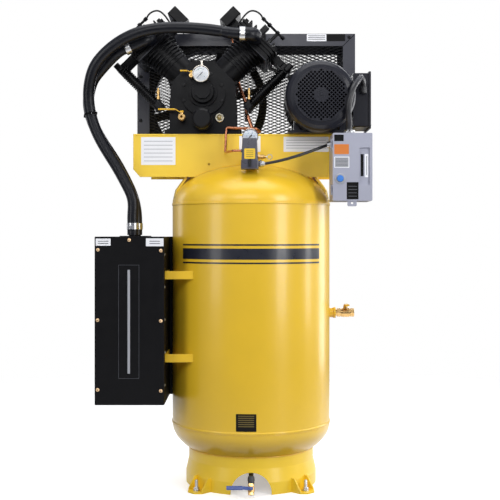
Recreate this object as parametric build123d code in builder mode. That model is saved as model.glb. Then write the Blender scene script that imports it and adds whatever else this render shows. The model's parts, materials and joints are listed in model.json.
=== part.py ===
from build123d import *
import math
import os

# Vertical tank compressor, 80 gallon receiver with a four-cylinder two-stage V pump.
# Frame: origin on the floor on the tank axis, +Z up, +X to the right of the front view,
# +Y towards the back (belt side). Millimetres.
# In names, X0/X1, Y0/Y1 and Z0/Z1 are left/right, front/back and bottom/top limits,
# and CX, CY, CZ the middles between them.

os.makedirs("parts", exist_ok=True)

DIAG = math.sqrt(0.5)  # sine and cosine of the 45 degree bank angle
CUT = Mode.SUBTRACT

# receiver
TANK_R = 305.0
TANK_WALL = 4.0
SHELL_Z0, SHELL_Z1 = 229.0, 1073.0
SHELL_H = SHELL_Z1 - SHELL_Z0
HEAD_RISE = 152.0
OUTLET_Z = 649.0
RISER_XY = (0, -150)
CHECK_VALVE_XY = (6, -60)

# platform
DECK_Z, DECK_T = 1336.0, 6.0
DECK_HALF_W, DECK_Y0, DECK_Y1 = 449.0, -90.0, 185.0
DECK_UNDERSIDE = DECK_Z - DECK_T
APRON_Z = 1172.0

# pump; "along" distances run outward from the crank axis on the centre line of a bank
PUMP_X, PUMP_Z = -183.0, 1492.0
SIDES = (-1, 1)  # left and right bank
CASE_Y0, CASE_Y1 = -85.0, 165.0
CASE_CY, CASE_DEPTH = (CASE_Y0 + CASE_Y1) / 2, CASE_Y1 - CASE_Y0
CYL_Y = (-22.0, 102.0)  # large front cylinder, small rear cylinder
BORE_R = (52.0, 32.0)
BARREL_R = (57.0, 45.0)
BASE_ALONG, PLATE_ALONG, HEAD_ALONG, HEAD_TOP = 106.0, 252.0, 258.0, 308.0
HEAD_Y0, HEAD_Y1 = -115.0, 178.0
HEAD_CY, HEAD_L = (HEAD_Y0 + HEAD_Y1) / 2, HEAD_Y1 - HEAD_Y0
INTAKE_PORTS = ((15, 1696), (-381, 1690))  # x, z on the front of each head
THROW, ROD_L = 35.0, 186.0
PIN_SIDE = (1, -1)  # front crankpin up, rear crankpin down
SHAFT_R = 20.0
SHAFT_FIT_R = SHAFT_R - 0.03

# drive
FLY_R, FLY_Y0, FLY_Y1 = 249.0, 222.0, 272.0
MOTOR_X, MOTOR_Z = 257.0, 1466.0
SHEAVE_R = 95.0
MOTOR_SHAFT_R = 17.5
GROOVE_DEPTH, GROOVE_W = 11.0, 17.2
BELT_Y = (235.0, 258.0)


# ---------------------------------------------------------------- planes
def front(y, x=0, z=0):
    """Plane facing the front: local x is +X, local y is +Z."""
    return Plane(origin=(x, y, z), x_dir=(1, 0, 0), z_dir=(0, -1, 0))


def right(x, y=0, z=0):
    """Plane facing right: local x is +Y, local y is +Z."""
    return Plane(origin=(x, y, z), x_dir=(0, 1, 0), z_dir=(1, 0, 0))


def up(z, x=0, y=0):
    """Plane facing up: local x is +X, local y is +Y."""
    return Plane(origin=(x, y, z), x_dir=(1, 0, 0), z_dir=(0, 0, 1))


def pump_front(y):
    """Front-facing plane centred on the crank axis."""
    return front(y, PUMP_X, PUMP_Z)


def motor_front(y):
    """Front-facing plane centred on the motor axis."""
    return front(y, MOTOR_X, MOTOR_Z)


def bank_point(side, y, along, inward):
    """Point on a bank; inward is the offset from its centre line towards the other bank."""
    return (
        PUMP_X + side * DIAG * (along - inward),
        y,
        PUMP_Z + DIAG * (along + inward),
    )


def bank(side, y, along, inward=0.0):
    """Plane square to one bank: local x is +Y, local y times side is the inner side."""
    return Plane(
        origin=bank_point(side, y, along, inward), x_dir=(0, 1, 0), z_dir=(side * DIAG, 0, DIAG)
    )


def bank_outward(side, y, along, inward):
    """Plane across a bank that faces its outer side."""
    return Plane(
        origin=bank_point(side, y, along, inward), x_dir=(0, 1, 0), z_dir=(side * DIAG, 0, -DIAG)
    )


def bank_back(side, y, along):
    """Plane facing the back, with local x outward along the bank."""
    return Plane(
        origin=bank_point(side, y, along, 0), x_dir=(side * DIAG, 0, DIAG), z_dir=(0, 1, 0)
    )


def corners(width, height):
    """Four points at the corners of a centred rectangle."""
    return [(x, y) for x in (-width / 2, width / 2) for y in (-height / 2, height / 2)]


# ---------------------------------------------------------------- shapes
# Each of these builds its own piece and adds it to, or cuts it from, the open part.
def disc(plane, radius, depth, at=((0, 0),), bore=0, taper=0, mode=Mode.ADD):
    with BuildPart() as piece:
        with BuildSketch(plane):
            with Locations(*at):
                Circle(radius)
                if bore:
                    Circle(bore, mode=CUT)
        extrude(amount=depth, taper=taper)
    add(piece.part, mode=mode)


def slab(plane, width, height, depth, at=((0, 0),), corner=0, rim=0, taper=0, mode=Mode.ADD):
    """Block with optional corner radius; a rim width turns it into an open frame."""
    with BuildPart() as piece:
        with BuildSketch(plane):
            with Locations(*at):
                if corner:
                    RectangleRounded(width, height, corner)
                else:
                    Rectangle(width, height)
                if rim:
                    Rectangle(width - 2 * rim, height - 2 * rim, mode=CUT)
        extrude(amount=depth, taper=taper)
    add(piece.part, mode=mode)


def prism(plane, radius, sides, depth, at=((0, 0),), rotation=0):
    with BuildPart() as piece:
        with BuildSketch(plane):
            with Locations(*at):
                RegularPolygon(radius, sides, rotation=rotation)
        extrude(amount=depth)
    add(piece.part)


def smooth_path(*points, **options):
    with BuildLine() as path:
        Spline(*points, **options)
    return path.line


def bent_path(radius, *points):
    """Straight runs joined by bends."""
    with BuildLine() as path:
        FilletPolyline(*points, radius=radius)
    return path.line


def swept_rod(path, radius):
    with BuildPart() as rod:
        with BuildSketch(Plane(origin=path @ 0, z_dir=path % 0)):
            Circle(radius)
        sweep(path=path)
    return rod.part


def tube(path, radius, mode=Mode.ADD):
    add(swept_rod(path, radius), mode=mode)


def cut_belt_grooves(x, z, rim_radius):
    for belt_y in BELT_Y:
        disc(
            front(belt_y - GROOVE_W / 2, x, z), rim_radius + 5, -GROOVE_W,
            bore=rim_radius - GROOVE_DEPTH, mode=CUT,
        )


def save(shape, label):
    shape.label = label
    export_step(shape, "parts/" + label + ".step")


# ---------------------------------------------------------------- receiver
# Outer form of the receiver, used to trim the parts that are welded to it.
with BuildPart() as vessel_form:
    with BuildSketch(Plane.XZ):
        with BuildLine():
            EllipticalCenterArc((0, SHELL_Z1), TANK_R, HEAD_RISE, 0, arc_size=90)
            Line((0, SHELL_Z1 + HEAD_RISE), (0, SHELL_Z0 - HEAD_RISE))
            EllipticalCenterArc((0, SHELL_Z0), TANK_R, HEAD_RISE, 270, arc_size=90)
            Line((TANK_R, SHELL_Z0), (TANK_R, SHELL_Z1))
        make_face()
    revolve(axis=Axis.Z)

TANK_INNER_R = TANK_R - TANK_WALL
with BuildPart() as tank_shell:
    disc(up(SHELL_Z0), TANK_R, SHELL_H, bore=TANK_INNER_R)
    # girth weld beads just inside the two seams
    for bead_z in (SHELL_Z0 + 5, SHELL_Z1 - 5):
        with BuildSketch(Plane.XZ):
            with Locations((TANK_R, bead_z)):
                Ellipse(2.2, 4.5)
        revolve(axis=Axis.Z)
    # threaded outlet bung
    disc(right(TANK_R - 8, z=OUTLET_Z), 19, 24)
    disc(right(TANK_R + 16, z=OUTLET_Z), 21.5, 8)
    # hollow centre again, then the bung bore
    disc(up(SHELL_Z0), TANK_INNER_R, SHELL_H, mode=CUT)
    disc(right(TANK_R - 20, z=OUTLET_Z), 13, 60, mode=CUT)
save(tank_shell.part, "tank_shell")

with BuildPart() as tank_heads:
    inner_rise = HEAD_RISE - TANK_WALL
    for seam_z, arc_start, direction in ((SHELL_Z1, 0, 1), (SHELL_Z0, 270, -1)):
        with BuildSketch(Plane.XZ):
            with BuildLine():
                EllipticalCenterArc((0, seam_z), TANK_R, HEAD_RISE, arc_start, arc_size=90)
                EllipticalCenterArc((0, seam_z), TANK_INNER_R, inner_rise, arc_start, arc_size=90)
                Line((0, seam_z + direction * HEAD_RISE), (0, seam_z + direction * inner_rise))
                Line((TANK_R, seam_z), (TANK_INNER_R, seam_z))
            make_face()
        revolve(axis=Axis.Z)
    # openings for the check valve, the control manifold and the drain
    disc(up(1150), 11, 120, at=(CHECK_VALVE_XY, RISER_XY), mode=CUT)
    disc(up(60), 7, 40, mode=CUT)
save(tank_heads.part, "tank_heads")

# ---------------------------------------------------------------- stand
SKIRT_TOP_R, SKIRT_BASE_R, SKIRT_WALL = 241.0, 252.0, 5.0
SKIRT_H = 150.0
ARCH_HALF_W, ARCH_H = 75.0, 81.0
with BuildPart() as base_skirt:
    with BuildSketch(Plane.XZ):
        with BuildLine():
            Polyline(
                (SKIRT_BASE_R, 0), (SKIRT_BASE_R, 45), (SKIRT_TOP_R, 95), (SKIRT_TOP_R, SKIRT_H),
                (SKIRT_TOP_R - SKIRT_WALL, SKIRT_H), (SKIRT_TOP_R - SKIRT_WALL, 93),
                (SKIRT_BASE_R - SKIRT_WALL, 43), (SKIRT_BASE_R - SKIRT_WALL, 0),
                close=True,
            )
        make_face()
    revolve(axis=Axis.Z)
    add(vessel_form.part, mode=CUT)
    # arched openings front and rear
    arch_centre_z = ARCH_H - ARCH_HALF_W
    with BuildSketch(front(300)):
        with Locations((0, arch_centre_z)):
            Circle(ARCH_HALF_W)
        with Locations((0, arch_centre_z / 2 - 5)):
            Rectangle(2 * ARCH_HALF_W, arch_centre_z + 10)
    extrude(amount=600, mode=CUT)
save(base_skirt.part, "base_skirt")

# Solid form of the skirt, used to trim the feet.
with BuildPart() as skirt_form:
    Cylinder(SKIRT_BASE_R, 45, align=(Align.CENTER, Align.CENTER, Align.MIN))
    with BuildSketch(Plane.XZ):
        with BuildLine():
            Polyline(
                (0, 44), (SKIRT_BASE_R, 45), (SKIRT_TOP_R, 95), (SKIRT_TOP_R, SKIRT_H),
                (0, SKIRT_H), close=True,
            )
        make_face()
    revolve(axis=Axis.Z)

ANCHOR_R, ANCHOR_HOLE_R = 285.0, 7.0
FOOT_ROOT, FOOT_TIP, FOOT_W, FOOT_T = 238, 313.0, 76.0, 6.0
CHEEK_T = 5
with BuildPart() as base_feet:
    for k in range(4):
        angle = math.radians(45 + 90 * k)
        cosine, sine = math.cos(angle), math.sin(angle)
        radial = (cosine, sine, 0)
        with BuildSketch(Plane(origin=(0, 0, 0), x_dir=radial, z_dir=(0, 0, 1))):
            with BuildLine():
                Polyline(
                    (FOOT_ROOT, -FOOT_W / 2), (FOOT_TIP - 22, -FOOT_W / 2), (FOOT_TIP, -18),
                    (FOOT_TIP, 18), (FOOT_TIP - 22, FOOT_W / 2), (FOOT_ROOT, FOOT_W / 2),
                    close=True,
                )
            make_face()
            with Locations((ANCHOR_R, 0)):
                Circle(ANCHOR_HOLE_R, mode=CUT)
        extrude(amount=FOOT_T)
        # upright cheek along each edge
        for offset in (-FOOT_W / 2, FOOT_W / 2 - CHEEK_T):
            with BuildSketch(
                Plane(
                    origin=(-sine * offset, cosine * offset, 0),
                    x_dir=radial,
                    z_dir=(sine, -cosine, 0),
                )
            ):
                with BuildLine():
                    Polyline((232, 0), (294, 0), (291, 12), (262, 52), (232, 52), close=True)
                make_face()
            extrude(amount=-CHEEK_T)
    add(skirt_form.part, mode=CUT)
save(base_feet.part, "base_feet")

# ---------------------------------------------------------------- platform
APRON_T = 5
APRON_CLIP_W, APRON_CLIP_H = 26, 29
REAR_APRON_HALF_W = 407
REAR_APRON_Z = APRON_Z + 6
LEG_ARC = 34  # degrees round the tank
with BuildPart() as platform:
    slab(
        up(DECK_UNDERSIDE, 0, (DECK_Y0 + DECK_Y1) / 2),
        2 * DECK_HALF_W, DECK_Y1 - DECK_Y0, DECK_T,
    )
    # front apron with clipped lower corners
    with BuildSketch(front(DECK_Y0)):
        with BuildLine():
            Polyline(
                (-DECK_HALF_W, DECK_UNDERSIDE),
                (-DECK_HALF_W, APRON_Z + APRON_CLIP_H),
                (-DECK_HALF_W + APRON_CLIP_W, APRON_Z),
                (DECK_HALF_W - APRON_CLIP_W, APRON_Z),
                (DECK_HALF_W, APRON_Z + APRON_CLIP_H),
                (DECK_HALF_W, DECK_UNDERSIDE),
                close=True,
            )
        make_face()
        with Locations((-160.5, 1220)):
            Circle(4, mode=CUT)
    extrude(amount=-APRON_T)
    # rear apron
    slab(
        front(DECK_Y1, 0, (DECK_UNDERSIDE + REAR_APRON_Z) / 2),
        2 * REAR_APRON_HALF_W, DECK_UNDERSIDE - REAR_APRON_Z, APRON_T,
    )
    # saddle legs that stand on the shoulder of the top head
    for start in (-LEG_ARC / 2, 180 - LEG_ARC / 2):
        cosine, sine = math.cos(math.radians(start)), math.sin(math.radians(start))
        with BuildSketch(
            Plane(origin=(0, 0, 0), x_dir=(cosine, sine, 0), z_dir=(sine, -cosine, 0))
        ):
            with BuildLine():
                Polyline(
                    (304.6, 1084), (295, 1125), (262, 1170), (256, 1200), (256, DECK_UNDERSIDE),
                    (249, DECK_UNDERSIDE), (249, 1198), (255, 1166), (288, 1121), (297, 1084),
                    close=True,
                )
            make_face()
        revolve(axis=Axis.Z, revolution_arc=LEG_ARC)
    add(vessel_form.part, mode=CUT)
    # hole for the discharge tube
    disc(up(DECK_Z - 20, *CHECK_VALVE_XY), 14, 40, mode=CUT)
save(platform.part, "platform")

# ---------------------------------------------------------------- silencer box
SIL_X0, SIL_X1, SIL_Y0, SIL_Y1, SIL_Z0, SIL_Z1 = -570.0, -317.0, -255.0, 0.0, 331.0, 945.0
SIL_W, SIL_D, SIL_H = SIL_X1 - SIL_X0, SIL_Y1 - SIL_Y0, SIL_Z1 - SIL_Z0
SIL_CX, SIL_CY, SIL_CZ = (SIL_X0 + SIL_X1) / 2, (SIL_Y0 + SIL_Y1) / 2, SIL_Z0 + SIL_H / 2
SIL_WALL = 2
COVER_T = 3
HOSE_STUBS = ((-443.0, -150.0), (-436.0, -85.0))  # x, y
COVER_SCREWS = (  # x, z
    (-444.0, 932.5), (-558.0, 897.0), (-329.0, 894.0), (-559.0, 641.0),
    (-329.0, 638.0), (-559.0, 387.0), (-329.0, 383.0),
)
BRACKET_H, BRACKET_T = 30, 5

with BuildPart() as silencer_brackets:
    for bracket_z in (497.0, 803.0):
        with BuildSketch(up(bracket_z - BRACKET_H / 2)):
            with BuildLine():
                Polyline(
                    (SIL_X1, -218), (-205, -218), (-205, -218 + BRACKET_T),
                    (SIL_X1 + BRACKET_T, -218 + BRACKET_T), (SIL_X1 + BRACKET_T, -60),
                    (SIL_X1, -60), close=True,
                )
            make_face()
        extrude(amount=BRACKET_H)
    add(vessel_form.part, mode=CUT)
save(silencer_brackets.part, "silencer_brackets")

with BuildPart() as silencer_case:
    slab(up(SIL_Z0, SIL_CX, SIL_CY), SIL_W, SIL_D, SIL_H)
    slab(
        front(SIL_Y0 - 1, SIL_CX, SIL_CZ),
        SIL_W - 2 * SIL_WALL, SIL_H - 2 * SIL_WALL, -(SIL_D - 1), mode=CUT,
    )
    # inward lips that take the cover screws
    slab(front(SIL_Y0, SIL_CX, SIL_CZ), SIL_W, SIL_H, -SIL_WALL, rim=22)
    # rear flange strip
    slab(up(SIL_Z0, SIL_X1 + 6, -1), 12, 2, SIL_H)
    # raised outlet plate and the two hose stubs
    slab(up(SIL_Z1, -436, -118), 104, 140, 3)
    for stub_xy in HOSE_STUBS:
        disc(up(SIL_Z1, *stub_xy), 15.6, 52)
        disc(up(SIL_Z1 - 10, *stub_xy), 13, 70, mode=CUT)
save(silencer_case.part, "silencer_case")

with BuildPart() as silencer_cover:
    with BuildSketch(front(SIL_Y0)):
        with Locations((SIL_CX, SIL_CZ)):
            RectangleRounded(SIL_W, SIL_H, 4)
        with Locations(*COVER_SCREWS):
            Circle(2.6, mode=CUT)
    extrude(amount=COVER_T)
save(silencer_cover.part, "silencer_cover")

with BuildPart() as silencer_screws:
    disc(front(SIL_Y0 - COVER_T), 5.2, 3, at=COVER_SCREWS, taper=18)
    disc(front(SIL_Y0), 2.5, COVER_T, at=COVER_SCREWS)
save(silencer_screws.part, "silencer_screws")

FILTER_CAP_R, FILTER_CAP_H = 78, 12
PLEAT_R, PLEAT_H = 74, 260
with BuildPart() as silencer_filter:
    # pleated filter element standing on the floor of the box, with end caps
    filter_z = SIL_Z0 + SIL_WALL
    disc(up(filter_z, SIL_CX, SIL_CY), FILTER_CAP_R, FILTER_CAP_H, bore=40)
    with BuildSketch(up(filter_z + FILTER_CAP_H, SIL_CX, SIL_CY)):
        Circle(PLEAT_R)
        Circle(52, mode=CUT)
        with PolarLocations(PLEAT_R, 36):
            RegularPolygon(4.5, 3, mode=CUT)
    extrude(amount=PLEAT_H)
    disc(up(filter_z + FILTER_CAP_H + PLEAT_H, SIL_CX, SIL_CY), FILTER_CAP_R, FILTER_CAP_H)
save(silencer_filter.part, "silencer_filter")

# ---------------------------------------------------------------- intake hoses
HOSE_R, HOSE_INNER_R = 21.0, 16.0
COLLAR_R = 25.6
# centre lines from the silencer stubs to the elbows: x, y, z
RIGHT_HOSE = (
    (-443, -150, 951), (-443, -150, 985), (-443, -150, 1025), (-443, -150, 1080),
    (-468, -147, 1142), (-503, -144, 1205), (-553, -143, 1286), (-586, -143, 1353),
    (-602, -145, 1406), (-608, -156, 1488), (-602, -166, 1524), (-580, -182, 1580),
    (-552, -193, 1614), (-498, -204, 1658), (-418, -208, 1698), (-351, -206, 1713),
    (-241, -198, 1718), (-117, -193, 1707), (-50, -192, 1697.9), (-35, -192, 1697.43),
    (-20, -192, 1697),
)
LEFT_HOSE = (
    (-436, -85, 951), (-436, -85, 985), (-437, -85, 1025), (-447, -86, 1085),
    (-473, -90, 1150), (-522, -94, 1240), (-579, -95, 1330), (-612, -97, 1410),
    (-618, -98, 1467), (-611, -99, 1506), (-599, -101, 1539), (-578, -105, 1567),
    (-549, -115, 1597), (-515, -137, 1625), (-479.5, -152, 1647), (-470.3, -152, 1651),
    (-461.2, -152, 1655), (-452, -152, 1659),
)
hose_routes = []  # points, hose end, heading there, elbow corner, elbow tip
for points, (port_x, port_z) in zip((RIGHT_HOSE, LEFT_HOSE), INTAKE_PORTS):
    end = Vector(*points[-1])
    corner = Vector(port_x, end.Y, port_z)
    tip = Vector(port_x, HEAD_Y0, port_z)
    hose_routes.append((points, end, (corner - end).normalized(), corner, tip))

# hose walls: outer and inner skins closed by flat rims
hose_walls = []
for points, end, heading, corner, tip in hose_routes:
    path = smooth_path(*points, tangents=((0, 0, 1), heading))
    skins = [
        sorted(swept_rod(path, radius).faces(), key=lambda f: f.area)[-1]
        for radius in (HOSE_R, HOSE_INNER_R)
    ]
    rims = []
    for position in (0, 1):
        spot = path @ position
        loops = [
            Wire([sorted(skin.edges(), key=lambda e: (e.center() - spot).length)[0]])
            for skin in skins
        ]
        rims.append(Face(loops[0], [loops[1]]))
    hose_walls.append(Solid(Shell(skins + rims)).fix())
save(Part(Compound(hose_walls).wrapped), "intake_hoses")

with BuildPart() as intake_elbows:
    for points, end, heading, corner, tip in hose_routes:
        start = end + heading * 0.5
        bend = bent_path(28, start, corner, tip)
        tube(bend, 25)
        tube(bend, 17, mode=CUT)
        # collar that slides over the hose end
        disc(Plane(origin=start, z_dir=heading), COLLAR_R, -24, bore=HOSE_R + 0.7)
save(intake_elbows.part, "intake_elbows")

# each clamp is a band with a screw block on it
CLAMP_BLOCK = {"width": 20, "height": 9, "depth": 13, "corner": 2}
with BuildPart() as hose_clamps:
    for points, end, heading, corner, tip in hose_routes:
        disc(Plane(origin=end - heading * 22, z_dir=heading), 27.4, 20, bore=COLLAR_R + 0.05)
        slab(Plane(origin=end - heading * 18, z_dir=heading), at=((0, 30.4),), **CLAMP_BLOCK)
    for stub_xy in HOSE_STUBS:
        disc(up(972, *stub_xy), 23, 24, bore=HOSE_R + 0.3)
        slab(up(972, *stub_xy), at=((0, -26),), **CLAMP_BLOCK)
save(hose_clamps.part, "hose_clamps")

# ---------------------------------------------------------------- pump case
CASE_W, FLANGE_T, CASE_WALL = 232, 16, 20
RIB_W = 16
FOOT_BOLTS = corners(268, 150)
SIGHT_XZ = (-120, 1398)
COVER_SPIGOT_R = 70.3
BEARING_R = 36
case_h = PUMP_Z - DECK_Z - FLANGE_T
sump_h = PUMP_Z - DECK_Z - 34
with BuildPart() as crankcase:
    with BuildSketch(pump_front(CASE_Y0)):
        with Locations((0, -case_h / 2)):
            Rectangle(CASE_W, case_h)
        Circle(125)
        for bank_angle in (45, 135):
            Rectangle(BASE_ALONG, 150, rotation=bank_angle, align=(Align.MIN, Align.CENTER))
    extrude(amount=-CASE_DEPTH)
    # base flange
    slab(up(DECK_Z, PUMP_X, CASE_CY), 294, 262, FLANGE_T, corner=14)
    # corner ribs, front and back
    slab(
        up(DECK_Z + FLANGE_T, PUMP_X, CASE_CY), RIB_W, RIB_W, 120,
        at=corners(240, CASE_DEPTH - RIB_W),
    )
    # crank chamber and oil sump
    with BuildSketch(pump_front(CASE_Y0 + CASE_WALL)):
        Circle(78)
        with Locations((0, -sump_h / 2)):
            Rectangle(180, sump_h)
    extrude(amount=-(CASE_DEPTH - 2 * CASE_WALL), mode=CUT)
    disc(pump_front(CASE_Y0), COVER_SPIGOT_R + 0.2, -CASE_WALL - 1, mode=CUT)
    disc(pump_front(CASE_Y1), BEARING_R, CASE_WALL + 1, mode=CUT)
    # flat cylinder decks
    for side in SIDES:
        slab(bank(side, CASE_CY, BASE_ALONG), CASE_DEPTH + 2, 150, 40, mode=CUT)
    # openings under the cylinders
    for side in SIDES:
        for y, bore_r in zip(CYL_Y, BORE_R):
            disc(bank(side, y, 55), bore_r, BASE_ALONG - 50, mode=CUT)
    # sight glass bore and hold-down holes
    disc(front(CASE_Y0, *SIGHT_XZ), 10, -25, mode=CUT)
    disc(up(DECK_Z, PUMP_X, CASE_CY), 6.5, FLANGE_T, at=FOOT_BOLTS, mode=CUT)
save(crankcase.part, "crankcase")

COVER_BOLT_R, COVER_BOLT_COUNT, COVER_BOLT_START = 78, 8, 22.5
BEARING_COVER_T = 15
with BuildPart() as front_covers:
    # bearing cover
    with BuildSketch(pump_front(CASE_Y0)):
        Circle(85)
        with PolarLocations(COVER_BOLT_R, COVER_BOLT_COUNT, start_angle=COVER_BOLT_START):
            Circle(4.5, mode=CUT)
    extrude(amount=BEARING_COVER_T)
    disc(pump_front(CASE_Y0), COVER_SPIGOT_R, -19.8)
    disc(pump_front(CASE_Y0 + 19.8), BEARING_R, 17.8, mode=CUT)
    # oil pump cap: round body, octagonal raised centre
    disc(pump_front(CASE_Y0 - BEARING_COVER_T), 54, 12)
    disc(pump_front(CASE_Y0 - 27), 45, 26, taper=8)
    prism(pump_front(CASE_Y0 - 53), 30, 8, 12, rotation=22.5)
    # neck down to the filter head
    slab(front(CASE_Y0, PUMP_X - 1, 1422), 44, 60, 22)
save(front_covers.part, "front_covers")

with BuildPart() as oil_filter:
    disc(front(CASE_Y0 - 22, PUMP_X - 1, 1387), 39, 18)
    prism(front(CASE_Y0 - 40, PUMP_X - 1, 1387), 38, 14, 50)
    chamfer(oil_filter.faces().sort_by(Axis.Y)[0].edges(), 7)
save(oil_filter.part, "oil_filter")

with BuildPart() as sight_glass:
    disc(front(CASE_Y0, *SIGHT_XZ), 17, 10)
    disc(front(CASE_Y0 - 10, *SIGHT_XZ), 10, -4, mode=CUT)
    disc(front(CASE_Y0, *SIGHT_XZ), 9.9, -15)
    chamfer(sight_glass.faces().sort_by(Axis.Y)[0].edges(), 2)
save(sight_glass.part, "sight_glass")

with BuildPart() as main_bearings:
    for bearing_y in (-83.0, 147.0):
        # outer race, inner race and the web between them: setback, outer r, inner r, width
        for setback, outer, inner, width in (
            (0, BEARING_R, 31, 16), (0, 26, SHAFT_R, 16), (6, 31, 26, 4),
        ):
            disc(pump_front(bearing_y + setback), outer, -width, bore=inner)
save(main_bearings.part, "main_bearings")

# ---------------------------------------------------------------- crankshaft and flywheel
PIN_R, PIN_L = 15, 28
WEB_T, WEB_PIN_R, WEIGHT_R = 12, 22, 66
WEIGHT_DROP = math.radians(20)  # edge of the counterweight arc beyond the horizontal
with BuildPart() as crankshaft_core:
    # journals: front y, back y, radius
    for y0, y1, radius in ((-83, -48, SHAFT_FIT_R), (4, 76, 22), (128, 275, SHAFT_FIT_R)):
        disc(pump_front(y0), radius, -(y1 - y0))
    for y, pin_side in zip(CYL_Y, PIN_SIDE):
        pin_z = pin_side * THROW
        disc(front(y - PIN_L / 2, PUMP_X, PUMP_Z + pin_z), PIN_R, -PIN_L)
        # two webs with their counterweights
        for web_y in (y - PIN_L / 2 - WEB_T, y + PIN_L / 2):
            with BuildSketch(pump_front(web_y)):
                with BuildLine():
                    CenterArc((0, pin_z), WEB_PIN_R, 90 - 90 * pin_side, 180)
                    CenterArc((0, 0), WEIGHT_R, 110 + 90 * pin_side, 140)
                    for edge in (-1, 1):
                        Line(
                            (edge * WEB_PIN_R, pin_z),
                            (
                                edge * WEIGHT_R * math.cos(WEIGHT_DROP),
                                -pin_side * WEIGHT_R * math.sin(WEIGHT_DROP),
                            ),
                        )
                make_face()
            extrude(amount=-WEB_T)

ROD_T = 11
with BuildPart() as rod_big_ends:
    for y, pin_side in zip(CYL_Y, PIN_SIDE):
        for offset in (-ROD_T - 0.5, 0.5):
            with BuildSketch(pump_front(y + offset)):
                with Locations((0, pin_side * THROW)):
                    Circle(26)
                with Locations((0, pin_side * 60)):
                    Rectangle(16, 17)
                with Locations((0, pin_side * THROW)):
                    Circle(PIN_R + 0.03, mode=CUT)
            extrude(amount=-ROD_T)
save(Compound(children=[crankshaft_core.part, *rod_big_ends.part.solids()]), "crankshaft")

SPOKE_TILT = math.radians(35)
SPOKE_START_R, SPOKE_L = 40, 180
with BuildPart() as flywheel:
    disc(pump_front(FLY_Y0), FLY_R, -(FLY_Y1 - FLY_Y0), bore=216)
    disc(pump_front(FLY_Y0), 46, -(FLY_Y1 - FLY_Y0))
    # six pitched spokes that work as fan blades
    for k in range(6):
        angle = math.radians(15 + 60 * k)
        cosine, sine = math.cos(angle), math.sin(angle)
        with BuildSketch(
            Plane(
                origin=(
                    PUMP_X + SPOKE_START_R * cosine,
                    (FLY_Y0 + FLY_Y1) / 2,
                    PUMP_Z + SPOKE_START_R * sine,
                ),
                x_dir=(
                    -sine * math.sin(SPOKE_TILT),
                    math.cos(SPOKE_TILT),
                    cosine * math.sin(SPOKE_TILT),
                ),
                z_dir=(cosine, 0, sine),
            )
        ):
            RectangleRounded(46, 9, 3)
        extrude(amount=SPOKE_L)
    cut_belt_grooves(PUMP_X, PUMP_Z, FLY_R)
    disc(pump_front(FLY_Y0 - 10), SHAFT_FIT_R, -80, mode=CUT)
save(flywheel.part, "flywheel")

# ---------------------------------------------------------------- cylinders and heads
BARREL_FLANGE_T = 10
FIN_COUNT, FIN_PITCH, FIN_T, FIRST_FIN_ALONG = 7, 14, 4, 160
COLLAR_T = 9
with BuildPart() as cylinders:
    for side in SIDES:
        for y, bore_r, barrel_r in zip(CYL_Y, BORE_R, BARREL_R):
            slab(bank(side, y, BASE_ALONG), 116, 138, BARREL_FLANGE_T, corner=10)
            disc(
                bank(side, y, BASE_ALONG + BARREL_FLANGE_T), barrel_r,
                PLATE_ALONG - BASE_ALONG - BARREL_FLANGE_T,
            )
            # fins that widen outward, then the top collar, all clipped at front and back
            rounds = [
                (FIRST_FIN_ALONG + FIN_PITCH * i, barrel_r + 4 + 13 * i / (FIN_COUNT - 1), FIN_T)
                for i in range(FIN_COUNT)
            ]
            rounds.append((PLATE_ALONG - COLLAR_T, barrel_r + 17, COLLAR_T))
            for along, radius, thickness in rounds:
                with BuildSketch(bank(side, y, along)):
                    Circle(radius)
                    Rectangle(120, 400, mode=Mode.INTERSECT)
                extrude(amount=thickness)
            disc(
                bank(side, y, BASE_ALONG - 1), bore_r, PLATE_ALONG - BASE_ALONG + 2, mode=CUT
            )
save(cylinders.part, "cylinders")

HEAD_BOLTS = [(y, across) for y in (-100.0, -28.0, 91.0, 163.0) for across in (-75.0, 75.0)]
BOLT_HOLE_R = 5.6
with BuildPart() as valve_plates:
    for side in SIDES:
        with BuildSketch(bank(side, 0, PLATE_ALONG)):
            with Locations((HEAD_CY, 0)):
                Rectangle(HEAD_L - 6, 172)
            with Locations(*HEAD_BOLTS):
                Circle(BOLT_HOLE_R, mode=CUT)
            # suction and discharge ports over each bore
            for y, bore_r in zip(CYL_Y, BORE_R):
                with Locations((y, 18), (y, -18)):
                    Circle(bore_r * 0.2, mode=CUT)
        extrude(amount=HEAD_ALONG - PLATE_ALONG)
save(valve_plates.part, "valve_plates")

HEAD_H = HEAD_TOP - HEAD_ALONG
HEAD_FIN_H = 17
with BuildPart() as cylinder_heads:
    for side in SIDES:
        slab(bank(side, HEAD_CY, HEAD_ALONG), HEAD_L, 176, HEAD_H, corner=8)
        # side grooves give the head its finned edge
        for groove_along in (268.0, 281.0, 294.0):
            with BuildSketch(bank(side, HEAD_CY, groove_along)):
                Rectangle(HEAD_L + 10, 190)
                RectangleRounded(HEAD_L - 14, 162, 8, mode=CUT)
            extrude(amount=6, mode=CUT)
        # fins along the outer face
        slab(
            bank(side, HEAD_CY, HEAD_TOP), HEAD_L - 12, 5, HEAD_FIN_H,
            at=[(0, across) for across in (-60, -36, -12, 12, 36, 60)],
        )
        # neck and discharge box on the inner side
        slab(bank(side, 75, 270, 108), 90, 44, 34)
        slab(bank(side, 75, 256, 149), 150, 42, 74, corner=5)
        # outer port boss above the intercooler
        slab(bank(side, 15, 284, -108), 90, 44, 26)
        # chambers
        slab(bank(side, -22, HEAD_ALONG), 120, 120, 34, mode=CUT)
        slab(bank(side, 110, HEAD_ALONG), 90, 120, 34, mode=CUT)
        disc(bank(side, 0, HEAD_ALONG - 1), BOLT_HOLE_R, HEAD_H + 2, at=HEAD_BOLTS, mode=CUT)
    # intake bores from the front
    disc(front(HEAD_Y0 - 1), 15, -44, at=INTAKE_PORTS, mode=CUT)
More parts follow.
